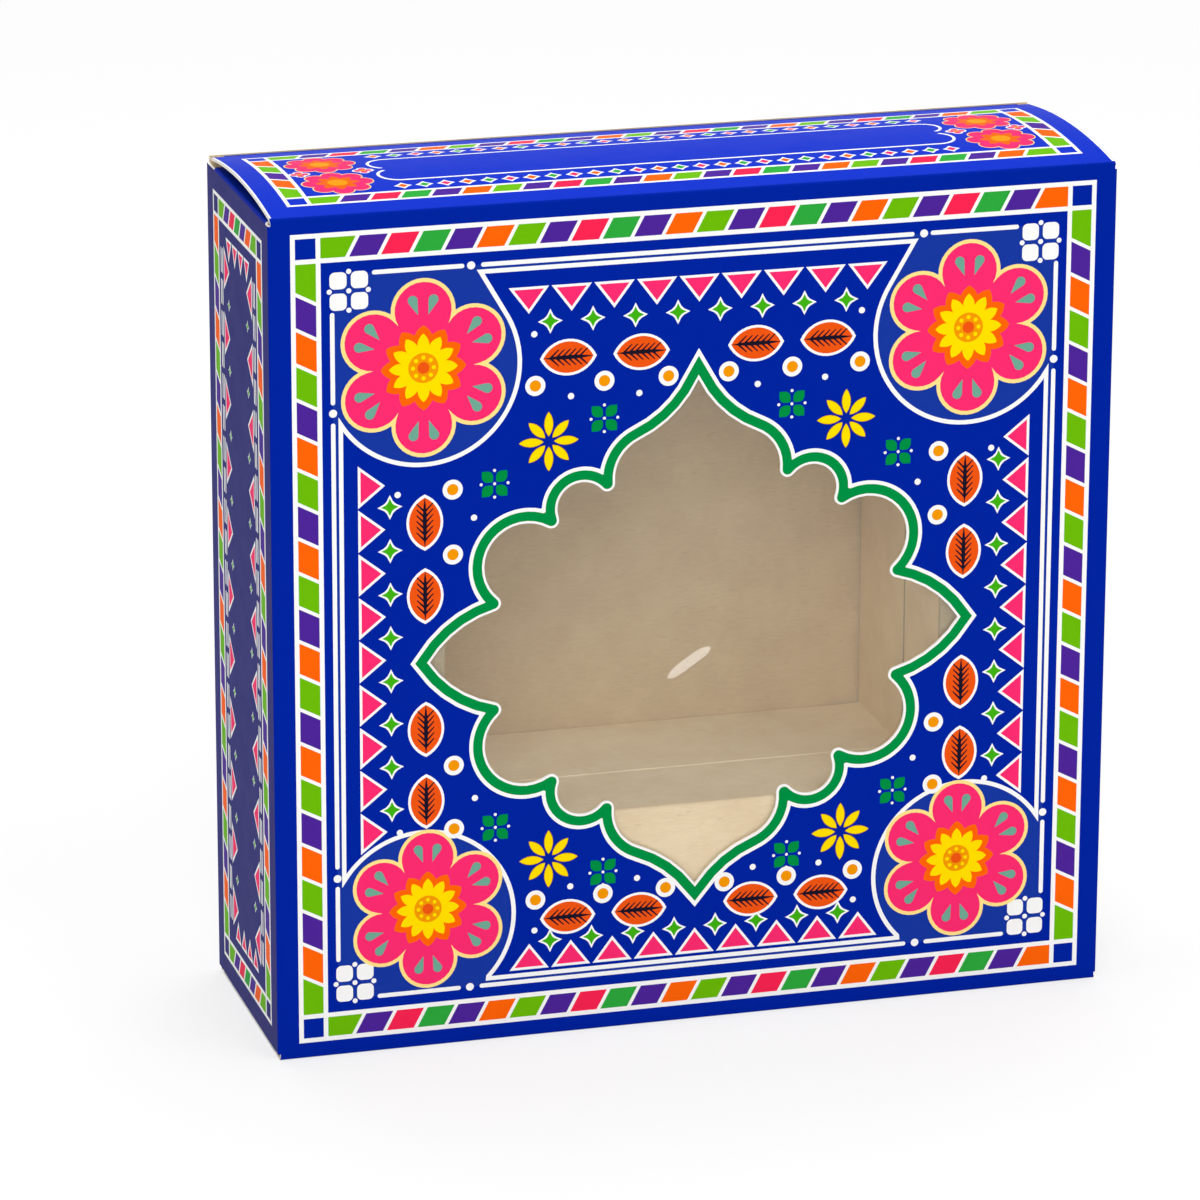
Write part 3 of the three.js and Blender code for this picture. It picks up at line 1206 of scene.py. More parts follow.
@dataclass(frozen=True)
class FrontArt:
    """The print of the front: border, framed corner bays, and rows of marks round the window."""

    window: Outline
    middle: Point
    border_half: Point = (78.4, 79.4)
    frame_half: Point = (70.6, 71.3)
    frame_line: float = 0.85
    frame_pitch: float = 1.35
    dot_clear: float = 1.9
    border_counts: tuple[int, int] = (24, 22)
    bays: tuple[Bay, Bay] = (UPPER_BAY, LOWER_BAY)
    corner_inset: float = 3.2
    rows: tuple[LevelRows, LevelRows] = (UPPER_ROWS, LOWER_ROWS)
    flag_count: int = 9
    flag_pitch: float = 8.26
    flag_rise: float = 8.55
    upright_base: float = 8.3
    upright_lift: float = 1.2
    flag_column: float = 66.0
    star_column: float = 59.9
    leaf_places: Point = (11.2, 25.4)
    leaf_heights: Point = (13.2, 27.6)
    leaf_column: float = 53.2
    egg_places: tuple[float, ...] = (5.9, 18.4, 31.8)
    egg_heights: Point = (20.9, 33.6)
    egg_column: float = 47.8
    side_dots: tuple[Point, Point] = ((43.7, 27.8), (58.4, 33.4))
    flower_place: Point = (29.2, 41.5)
    floret_places: tuple[Point, Point] = ((18.4, 45.2), (39.7, 34.1))
    ring_widths: tuple[float, float, float] = (0.45, 1.85, 0.75)

    def compose(self) -> Artwork:
        """Composes the whole front.

        Returns:
            The artwork, round the panel's own middle.
        """
        art = Artwork()
        BlockBorder(*self.border_half, *self.border_counts).draw(art)
        self._frame(art)
        self._bays(art)
        self._rows(art)
        self._flowers(art)
        self._window_ring(art)
        return art

    def _panel(self) -> Outline:
        """Traces the inner frame line.

        Returns:
            Its middle, anticlockwise.
        """
        level = self.frame_half[1] - self.frame_pitch
        points: Outline = []
        for su, sv in ((1, 1), (-1, 1), (-1, -1), (1, -1)):
            recess = [(su * u, sv * v) for u, v in self.bays[sv < 0].recess(level)]
            points += recess if su == sv else recess[::-1]
        return points

    def _frame(self, art: Artwork) -> None:
        """Lays down the bays' ground and the double frame line.

        Args:
            art: the artwork.
        """
        w, h = self.frame_half
        art.lay(Ink.BAY_BLUE, rectangle(-w, -h, w, h))
        art.lay(Ink.WHITE, grown(self._panel(), self.frame_line / 2))
        art.lay(Ink.ROYAL_BLUE, grown(self._panel(), -self.frame_line / 2))
        ends = [[dot - self.dot_clear for dot in bay.dots] for bay in self.bays]
        for sign, (u, _) in zip((1, -1), ends):
            art.lay(Ink.WHITE, capsule(2 * u, self.frame_line), (0, sign * h))
        (_, high), (_, low) = ends
        for sign in (-1, 1):
            art.lay(Ink.WHITE, capsule(high + low, self.frame_line), (sign * w, (high - low) / 2), 90)

    def _bays(self, art: Artwork) -> None:
        """Lays down what is in the four corner bays.

        Args:
            art: the artwork.
        """
        w, h = self.frame_half
        dot = circle(0.78, 16)
        for sv, bay in zip((1, -1), self.bays):
            marks = Artwork()
            first, last = bay.level_line
            marks.lay(Ink.WHITE, capsule(last - first, self.frame_line), ((first + last) / 2, h))
            first, last = bay.upright_line
            marks.lay(Ink.WHITE, capsule(last - first, self.frame_line), (w, (first + last) / 2), 90)
            marks.lay(Ink.WHITE, dot, (bay.dots[0], h))
            marks.lay(Ink.WHITE, dot, (w, bay.dots[1]))
            corner = floret(Ink.WHITE, rounded_square(3.25), gap=0.8, dot=0.5, reach=3.7)
            marks.stamp(corner, [(w - self.corner_inset, h - self.corner_inset)])
            marks.stamp(Rosette(bay.flower_size).compose(), [bay.flower])
            for su in (-1, 1):
                art.stamp(marks, [(0, 0)], mirror=(su, sv))

    def _rows(self, art: Artwork) -> None:
        """Lays down the bunting, stars, leaves and dots that go round the window.

        Args:
            art: the artwork.
        """
        u0, v0 = self.middle
        flags, pitch, rise = self.flag_count, self.flag_pitch, self.flag_rise
        half = (flags - 1) / 2
        star_half = half - 0.5
        leaf, egg, green = VeinedLeaf().compose(), egg_dot(), green_star()
        dot = Artwork([(Ink.WHITE, circle(0.62, 14))])
        for row in self.rows:
            sv = row.side
            start, step = (u0 - sv * half * pitch, v0 + sv * row.flags), (sv * pitch, 0)
            Bunting().draw(art, flags, start, step, row.turn)
            for ink, o in green.layers:
                start = (u0 - star_half * pitch, v0 + sv * row.stars)
                art.row(ink, o, flags - 1, start, (pitch, 0))
            spots = [*row.dots, *self.side_dots]
            for su in (-1, 1):
                art.stamp(leaf, [(u0 + su * a, v0 + sv * row.leaves) for a in self.leaf_places])
                column = u0 + su * self.leaf_column
                art.stamp(leaf, [(column, v0 + sv * a) for a in self.leaf_heights], 90)
                art.stamp(egg, [(u0 + su * a, v0 + sv * row.eggs) for a in self.egg_places])
                column = u0 + su * self.egg_column
                art.stamp(egg, [(column, v0 + sv * a) for a in self.egg_heights])
                art.stamp(dot, [(u0 + su * a, v0 + sv * b) for a, b in spots])
        upright = Bunting(self.upright_base)
        low = v0 + self.upright_lift
        for su, turn in ((-1, 90), (1, 270)):
            start = (u0 + su * self.flag_column, low - half * rise)
            upright.draw(art, flags, start, (0, rise), turn)
            for ink, o in green.layers:
                start = (u0 + su * self.star_column, low - star_half * rise)
                art.row(ink, o, flags - 1, start, (0, rise))

    def _flowers(self, art: Artwork) -> None:
        """Lays down the yellow flowers and the green florets beside the window's shoulders.

        Args:
            art: the artwork.
        """
        u0, v0 = self.middle
        flower = yellow_flower()
        green = floret(Ink.FRAME_GREEN, pointed_petal(2.2), gap=0.55, dot=0.3, reach=2.6)
        for su in (-1, 1):
            for sv in (-1, 1):
                a, b = self.flower_place
                art.stamp(flower, [(u0 + su * a, v0 + sv * b)])
                art.stamp(green, [(u0 + su * a, v0 + sv * b) for a, b in self.floret_places])

    def _window_ring(self, art: Artwork) -> None:
        """Lays down the green line with white edges that follows the window's cut.

        Args:
            art: the artwork.
        """
        inner, green, outer = self.ring_widths
        art.lay(Ink.WHITE, grown(self.window, inner + green + outer))
        art.lay(Ink.FRAME_GREEN, grown(self.window, inner + green))
        art.lay(Ink.WHITE, grown(self.window, inner))


@dataclass(frozen=True)
class SideArt:
    """The print of a plain panel: border, broken double line, bunting all round and a bare middle."""

    half: Point
    margin: float
    across: int
    up: int
    level_count: int
    upright_count: int
    level_base: float = 6.6
    upright_base: float = 8.6
    ground: Ink = Ink.ROYAL_BLUE
    line_inset: float = 1.5
    dash: Point = (5.0, 0.6)
    dash_pitch: float = 6.2
    line_pitch: float = 1.15
    flag_inset: Point = (2.2, 0.6)
    level_height: float = 4.4
    upright_height: float = 4.6
    level_fill: float = 0.94
    corner_share: float = 0.4
    star_inset: float = 4.0
    star_size: float = 0.5

    def compose(self) -> Artwork:
        """Composes the panel.

        Returns:
            The artwork, round the panel's own middle.
        """
        art = Artwork()
        w, h = self.half[0] - self.margin, self.half[1] - self.margin
        border = BlockBorder(w, h, self.across, self.up, ground=self.ground, **NARROW_BAND)
        border.draw(art)
        w, h = w - border.width - self.line_inset, h - border.width - self.line_inset
        count = int(2 * h / self.dash_pitch)
        for sign in (-1, 1):
            for k in range(2):
                start = (sign * (w - k * self.line_pitch), -(count - 1) * self.dash_pitch / 2)
                art.row(Ink.WHITE, capsule(*self.dash), count, start, (0, self.dash_pitch), 90)
        w, h = w - self.flag_inset[0], h - self.flag_inset[1]
        step = 2 * h / self.upright_count
        upright = Bunting(self.upright_base, self.upright_height)
        upright.draw(art, self.upright_count, (-w, -h + step / 2), (0, step), 90)
        upright.draw(art, self.upright_count, (w, -h + step / 2), (0, step), 270)
        span = w - self.corner_share * upright.height
        pitch = 2 * span / self.level_count
        level = Bunting(min(self.level_base, pitch * self.level_fill), self.level_height)
        level.draw(art, self.level_count, (-span + pitch / 2, h), (pitch, 0), 0)
        level.draw(art, self.level_count, (-span + pitch / 2, -h), (pitch, 0), 180)
        for sign in (-1, 1):
            for ink, o in green_star().layers:
                small = [(self.star_size * a, self.star_size * b) for a, b in o]
                start = (sign * (w - self.star_inset), -h + step)
                art.row(ink, small, self.upright_count - 1, start, (0, step))
        return art


@dataclass(frozen=True)
class LidArt:
    """The print of the lid: border, flowers at both ends, rows of diamonds and a bare plaque."""

    half_width: float = 82.1
    depth: float = 48.5
    margin: Point = (4.6, 5.4)
    across: int = 25
    up: int = 5
    flower_inset: Point = (7.6, 7.0)
    bud_insets: Point = (2.0, 14.2)
    diamond_count: int = 27
    diamond_inset: Point = (19.0, 2.6)
    plaque_inset: Point = (20.0, 5.8)
    plaque_line: float = 0.6
    bracket_angle: float = 62.0
    bracket_share: float = 0.8
    bracket_nose: float = 1.6
    cut_line: float = 0.4
    cut_ends: Point = (0.6, 0.8)
    # The lid's ground is printed lighter than the front's, as painted sheen.
    ground: Ink = Ink.LID_BLUE

    def compose(self) -> Artwork:
        """Composes the lid.

        Returns:
            The artwork, whose v runs from the front fold to the rear one.
        """
        art = Artwork()
        middle = self.depth / 2
        w, h = self.half_width - self.margin[0], middle - self.margin[1]
        border = BlockBorder(
            w, h, self.across, self.up, (0, middle), ground=self.ground, **NARROW_BAND
        )
        border.draw(art)
        w, h = w - border.width, h - border.width
        a, b = self.flower_inset
        for su in (-1, 1):
            for sv in (-1, 1):
                art.stamp(self._flower(), [(su * (w - a), middle + sv * (h - b))])
            art.stamp(self._bud(), [(su * (w - inset), middle) for inset in self.bud_insets])
        reach, level = w - self.diamond_inset[0], h - self.diamond_inset[1]
        step = 2 * reach / (self.diamond_count - 1)
        inks = (Ink.ORANGE, Ink.GREEN, Ink.PINK)
        for sv in (-1, 1):
            for i, ink in enumerate(inks):
                number = len(range(i, self.diamond_count, len(inks)))
                start = (-reach + i * step, middle + sv * level)
                art.row(Ink.WHITE, star(1.75, 1.1), number, start, (len(inks) * step, 0))
                art.row(ink, star(1.05, 0.7), number, start, (len(inks) * step, 0))
        self._plaque(art, w - self.plaque_inset[0], h - self.plaque_inset[1], middle)
        # White strips along the lid's two ends: partly bare board where the die cut the print, partly a
        # painted highlight of the edge catching the light from above.
        first, last = self.cut_ends
        for su in (-1, 1):
            left, right = sorted((su * (self.half_width - self.cut_line), su * self.half_width))
            art.lay(Ink.WHITE, rectangle(left, first, right, self.depth - last))
        return art

    def _flower(self) -> Artwork:
        """Composes a pink flower of eight petals with an orange middle.

        Returns:
            The mark.
        """
        mark = Artwork()
        mark.lay(Ink.CREAM, scalloped(4.75, 2.2, 8))
        mark.lay(Ink.PINK, scalloped(4.75, 1.98, 8))
        mark.ring(Ink.ORANGE, lens(3.9, 2.1), 8, 2.3)
        mark.lay(Ink.EGG_ORANGE, circle(1.9, 24))
        return mark

    def _bud(self) -> Artwork:
        """Composes a small flower of four pink petals.

        Returns:
            The mark.
        """
        mark = Artwork()
        mark.ring(Ink.WHITE, circle(1.05, 14), 4, 1.05)
        mark.ring(Ink.PINK, circle(0.72, 12), 4, 1.05)
        mark.lay(Ink.EGG_ORANGE, circle(0.55, 12))
        return mark

    def _plaque(self, art: Artwork, w: float, h: float, middle: float) -> None:
        """Lays down the white line of a plaque whose ends are drawn in like brackets.

        Args:
            art: the artwork.
            w: half of the plaque's straight width.
            h: half of its height.
            middle: the level of its middle.
        """
        for ink, less in ((Ink.WHITE, 0.0), (self.ground, self.plaque_line)):
            right = self._plaque_end(w, h, less)
            left = [(-u, -v) for u, v in right]
            art.lay(ink, right + left, (0, middle))

    def _plaque_end(self, w: float, h: float, less: float) -> Outline:
        """Gives the right end of the plaque's outline, drawn in by some distance.

        Args:
            w: half of the straight width.
            h: half of the height.
            less: how far inside the line it runs.

        Returns:
            Points from the lower corner to the upper one.
        """
        r = h / 2
        lower = arc((w, -r), r - less, -90, self.bracket_angle, 14)
        upper = arc((w, r), r - less, -self.bracket_angle, 90, 14)
        nose = w + r * self.bracket_share + self.bracket_nose - self.bracket_nose * less
        return lower + [(nose, 0.0)] + upper


@dataclass(frozen=True)
class Face:
    """A sheet's outer face: its flat directions u and v in millimetres, and the way into the board."""

    origin: Triple
    across: Triple
    up: Triple

    @property
    def inward(self) -> Vector:
        """The way into the board."""
        return -Vector(self.across).cross(Vector(self.up))

    def place(self, u: float, v: float, depth: float) -> Vector:
        """Gives the point of the board at (u, v) and a depth under the face, in millimetres."""
        return Vector(self.origin) + Vector(self.across) * u + Vector(self.up) * v + self.inward * depth

    def flat(self, point: Vector) -> Triple:
        """Gives u, v and depth of a point in millimetres."""
        offset = point - Vector(self.origin)
        return offset @ Vector(self.across), offset @ Vector(self.up), offset @ self.inward


@dataclass(frozen=True)
class BowedFace(Face):
    """A face that bows out between v = 0 and v = span, about the board's middle layer."""

    span: float = 48.5
    crown: float = 1.8

    def place(self, u: float, v: float, depth: float) -> Vector:
        """Gives a point of the bowed board, in millimetres.

        Args:
            u: the place across.
            v: the place up the bow.
            depth: how far it lies under the face.

        Returns:
            The point.
        """
        share = v / self.span
        rise = 4 * self.crown * share * (1 - share)
        slope = 4 * self.crown / self.span * (1 - 2 * share)
        out = Vector((0.0, -slope, 1.0)).normalized() * (PLY - depth)
        flat = Vector(self.origin) + Vector(self.across) * u + Vector(self.up) * (v + out.y)
        return flat - self.inward * (rise + out.z - PLY)


def boundary_loops(triangles: Sequence[Sequence[int]]) -> list[list[int]]:
    """Finds the closed borders of a set of triangles.

    Args:
        triangles: corner indices, all anticlockwise.

    Returns:
        Loops of indices: outer ones anticlockwise and holes clockwise.
    """
    edges = {(t[i], t[i - 2]) for t in triangles for i in range(3)}
    follow = {a: b for a, b in edges if (b, a) not in edges}
    loops = []
    while follow:
        first, following = follow.popitem()
        loop = [first]
        while following != first:
            loop.append(following)
            following = follow.pop(following)
        loops.append(loop)
    return loops


def loop_area(loop: Sequence[Point]) -> float:
    """Gives a loop's signed area."""
    shifted = [*loop[1:], loop[0]]
    return sum(a[0] * b[1] - b[0] * a[1] for a, b in zip(loop, shifted)) / 2


def cad_outlines(node: str, face: Face) -> list[Outline]:
    """Reads the outline and the holes of a flat CAD sheet's outer face.

    Args:
        node: the CAD node.
        face: the sheet's outer face.

    Returns:
        The outline, then the holes, all anticlockwise, in the face's millimetres.
    """
    slack = 0.02
    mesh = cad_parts[node].data
    mesh.calc_loop_triangles()
    flat = [face.flat(vertex.co / MM) for vertex in mesh.vertices]
    keys: dict[Point, int] = {}
    index = [keys.setdefault((round(u, 3), round(v, 3)), len(keys)) for u, v, _ in flat]
    triangles = [
        [index[i] for i in triangle.vertices]
        for triangle in mesh.loop_triangles
        if all(abs(flat[i][2]) < slack for i in triangle.vertices)
    ]
    points = list(keys)
    loops = [[points[i] for i in loop] for loop in boundary_loops(triangles)]
    loops.sort(key=lambda loop: -abs(loop_area(loop)))
    return [loop if loop_area(loop) > 0 else loop[::-1] for loop in loops]


def add_piece(
    name: str,
    points: Sequence[Vector],
    faces: Sequence[Sequence[int]],
    materials: Sequence[bpy.types.Material],
    slots: Sequence[int],
    smooth: bool = False,
) -> bpy.types.Object:
    """Makes a mesh object from points in millimetres.

    Args:
        name: the piece's name.
        points: its corners.
        faces: corner indices of its faces.
        materials: its finishes.
        slots: each face's finish.
        smooth: whether its bends are shaded round.

    Returns:
        The object, in the scene, at the origin.
    """
    mesh = bpy.data.meshes.new(name)
    mesh.from_pydata([tuple(p * MM) for p in points], [], [list(f) for f in faces])
    for material in materials:
        mesh.materials.append(material)
    mesh.polygons.foreach_set("material_index", list(slots))
    if smooth:
        mesh.shade_smooth()
        mesh.set_sharp_from_angle(angle=math.radians(SHARP_ANGLE))
    mesh.update()
    piece = bpy.data.objects.new(name, mesh)
    bpy.context.scene.collection.objects.link(piece)
    LOG.info("%s: %d faces", name, len(mesh.polygons))
    return piece


@dataclass
class Sheet:
    """A closed sheet between two depths of a board, whose outer face carries a print or none."""

    face: Face
    outlines: list[Outline]
    art: Artwork
    levels: tuple[float, ...] = ()

    def _outer(self) -> tuple[list[Point], list[list[int]], list[Ink | None]]:
        """Cuts the outer face along every mark.

        Returns:
            The points, the triangles and each triangle's topmost ink.
        """
        loops = [*self.outlines, *[o for _, o in self.art.layers]]
        points = [Vector(p) for loop in loops for p in loop]
        starts = np.cumsum([0] + [len(loop) for loop in loops])
        faces = [list(range(a, b)) for a, b in zip(starts, starts[1:])]
        edges = []
        us = [p[0] for p in self.outlines[0]]
        for level in self.levels:
            edges.append((len(points), len(points) + 1))
            points += [Vector((min(us), level)), Vector((max(us), level))]
        made, _, cells, _, _, sources = delaunay_2d_cdt(points, edges, faces, 0, JOIN, True)
        holes = set(range(1, len(self.outlines)))
        triangles, inks = [], []
        for cell, source in zip(cells, sources):
            if 0 in source and not holes & set(source):
                top = max(source) - len(self.outlines)
                triangles.append(list(cell))
                inks.append(self.art.layers[top][0] if top >= 0 else None)
        return [(p.x, p.y) for p in made], triangles, inks

    def build(
        self,
        name: str,
        depths: tuple[float, float],
        ground: bpy.types.Material,
        edge: bpy.types.Material,
        back: bpy.types.Material,
    ) -> bpy.types.Object:
        """Makes the closed sheet.

        Args:
            name: the piece's name.
            depths: where it begins and ends under the board's face.
            ground: the finish of its outer face where no mark lies.
            edge: the finish of its cut edges.
            back: the finish of its inner face.

        Returns:
            The piece.
        """
        flat, triangles, inks = self._outer()
        loops = boundary_loops(triangles)
        ring = [i for loop in loops for i in loop]
        starts = np.cumsum([0] + [len(loop) for loop in loops])
        order = sorted(range(len(loops)), key=lambda k: -abs(loop_area([flat[i] for i in loops[k]])))
        ways = [range(starts[k], starts[k + 1]) for k in order]
        faces = [list(w) if n == 0 else list(w)[::-1] for n, w in enumerate(ways)]
        corners = [Vector(flat[i]) for i in ring]
        made, _, cells, origins, _, sources = delaunay_2d_cdt(corners, [], faces, 0, JOIN, True)
        base = len(flat)
        under = {ring[i]: base + k for k, found in enumerate(origins) for i in found}
        points = [self.face.place(u, v, depths[0]) for u, v in flat]
        points += [self.face.place(p.x, p.y, depths[1]) for p in made]
        backs = [
            [base + i for i in reversed(cell)]
            for cell, source in zip(cells, sources)
            if 0 in source and len(source) == 1
        ]
        walls = [
            [b, a, under[a], under[b]]
            for loop in loops
            for a, b in zip(loop, [*loop[1:], loop[0]])
        ]
        used = sorted({ink for ink in inks if ink}, key=lambda ink: ink.name)
        materials = [ground, edge, back, *[LaminatedPrint(ink).material() for ink in used]]
        number = {ink: 3 + k for k, ink in enumerate(used)} | {None: 0}
        slots = [number[ink] for ink in inks] + [1] * len(walls) + [2] * len(backs)
        bowed = isinstance(self.face, BowedFace)
        return add_piece(name, points, [*triangles, *walls, *backs], materials, slots, bowed)


@dataclass
class BoardPanel:
    """One panel of the carton's blank: a printed ply outside and an uncoated ply inside."""

    node: str
    body: str
    face: Face
    art: Artwork = field(default_factory=Artwork)
    outlines: list[Outline] | None = None
    levels: tuple[float, ...] = ()
    ground: Ink = Ink.ROYAL_BLUE

    def build(self) -> None:
        """Makes both plies in place of the CAD node."""
        outlines = self.outlines or cad_outlines(self.node, self.face)
        ground = LaminatedPrint(self.ground).material()
        # The inner ply's board is a little darker than the fitment's, as painted shade inside the
        # carton.
        core, liner = CutBoard().material(), LINER.material()
        printed = Sheet(self.face, outlines, self.art, self.levels)
        piece = printed.build(f"{self.node}_print", (0.0, PLY), ground, core, core)
        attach(piece, self.body)
        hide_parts(self.node)
        plain = Sheet(self.face, outlines, Artwork(), self.levels)
        piece = plain.build(f"{self.node}_liner", (PLY, BOARD), core, core, liner)
        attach(piece, self.body)


@dataclass
class Fold:
    """A creased fold between two panels: a bent strip with ink outside and bare board at its ends.

    Its section is drawn in the plane across the fold, from the first panel to the second.
    """

    node: str
    outer: list[Vector]
    inner: list[Vector]
    along: Vector

    def build(self) -> bpy.types.Object:
        """Makes the strip in place of the CAD node.

        Returns:
            The piece, which doesn't ride on a body yet.
        """
        section = [*self.outer, *reversed(self.inner)]
        count = len(section)
        points = [*section, *[p + self.along for p in section]]
        faces = [[i, (i + 1) % count, count + (i + 1) % count, count + i] for i in range(count)]
        faces += [list(range(count))[::-1], list(range(count, 2 * count))]
        slots = [0 if i < len(self.outer) - 1 else 1 for i in range(count)] + [2, 2]
        centre = sum(section, Vector()) / count
        first = (section[0] + section[1]) / 2
        normal = (section[1] - section[0]).cross(self.along)
        if normal @ (first - centre) < 0:
            faces = [f[::-1] for f in faces]
        blue = LaminatedPrint(Ink.ROYAL_BLUE).material()
        materials = [blue, LINER.material(), CutBoard().material()]
        piece = add_piece(f"{self.node}_fold", points, faces, materials, slots, True)
        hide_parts(self.node)
        return piece


def bend(start: Vector, start_way: Vector, end: Vector, end_way: Vector, count: int) -> list[Vector]:
    """Gives points along a smooth bend.

    Args:
        start: the first point.
        start_way: the direction in which it leaves.
        end: the last point.
        end_way: the direction in which it arrives.
        count: the number of steps.

    Returns:
        count + 1 points.
    """
    handle = 0.39
    reach = (end - start).length * handle
    controls = (start, start + start_way * reach, end - end_way * reach, end)
    points = []
    for i in range(count + 1):
        t = i / count
        shares = ((1 - t) ** 3, 3 * t * (1 - t) ** 2, 3 * t * t * (1 - t), t**3)
        points.append(sum((c * s for c, s in zip(controls, shares)), Vector()))
    return points


@dataclass
class Sleeve:
    """The carton's four walls with their upright folds."""

    half_width: float = 82.55
    half_depth: float = 25.4
    height: float = 165.1
    window_drop: float = 5.3
    fold_steps: int = 10

    def build(self) -> None:
        """Makes the walls and the folds between them."""
        middle = self.height / 2
        front = Face((0, -self.half_depth, middle), (1, 0, 0), (0, 0, 1))
        outlines = cad_outlines("front_panel", front)
        art = FrontArt(outlines[1], (0.0, -self.window_drop)).compose()
        BoardPanel("front_panel", "carton", front, art).build()
        # The sides' print lies on a darker ground than the front's, as painted shade.
        side = SideArt(
            (self.half_depth, middle),
            margin=5.2,
            across=7,
            up=23,
            level_count=4,
            upright_count=11,
            ground=Ink.NAVY,
        ).compose()
        left = Face((-self.half_width, 0, middle), (0, -1, 0), (0, 0, 1))
        BoardPanel("left_panel", "carton", left, side, ground=Ink.NAVY).build()
        right = Face((self.half_width, 0, middle), (0, 1, 0), (0, 0, 1))
        BoardPanel("right_panel", "carton", right, side, ground=Ink.NAVY).build()
        back = Face((0, self.half_depth, middle), (-1, 0, 0), (0, 0, 1))
        plain = SideArt(
            (self.half_width, middle),
            margin=4.2,
            across=24,
            up=23,
            level_count=15,
            upright_count=15,
            level_base=8.2,
        ).compose()
        BoardPanel("back_panel", "carton", back, plain).build()
        for node, su, sv in (
            ("front_left_crease", -1, -1),
            ("front_right_crease", 1, -1),
            ("back_left_crease", -1, 1),
            ("glue_flap_crease", 1, 1),
        ):
            self._corner(node, su, sv)

    def _corner(self, node: str, su: int, sv: int) -> None:
        """Makes one upright fold.

        Args:
            node: the CAD crease.
            su: the side along x.
            sv: the side along y.
        """
        low, high = (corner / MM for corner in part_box(node))
        apex = Vector((low.x if su > 0 else high.x, low.y if sv > 0 else high.y, low.z))
        first = math.degrees(math.atan2(0, su))
        last = first + 90 * su * sv
        turns = arc((0, 0), BOARD, first, last, self.fold_steps)
        outer = [apex + Vector((u, v, 0)) for u, v in turns]
        fold = Fold(node, outer, [apex], Vector((0, 0, high.z - low.z)))
        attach(fold.build(), "carton")


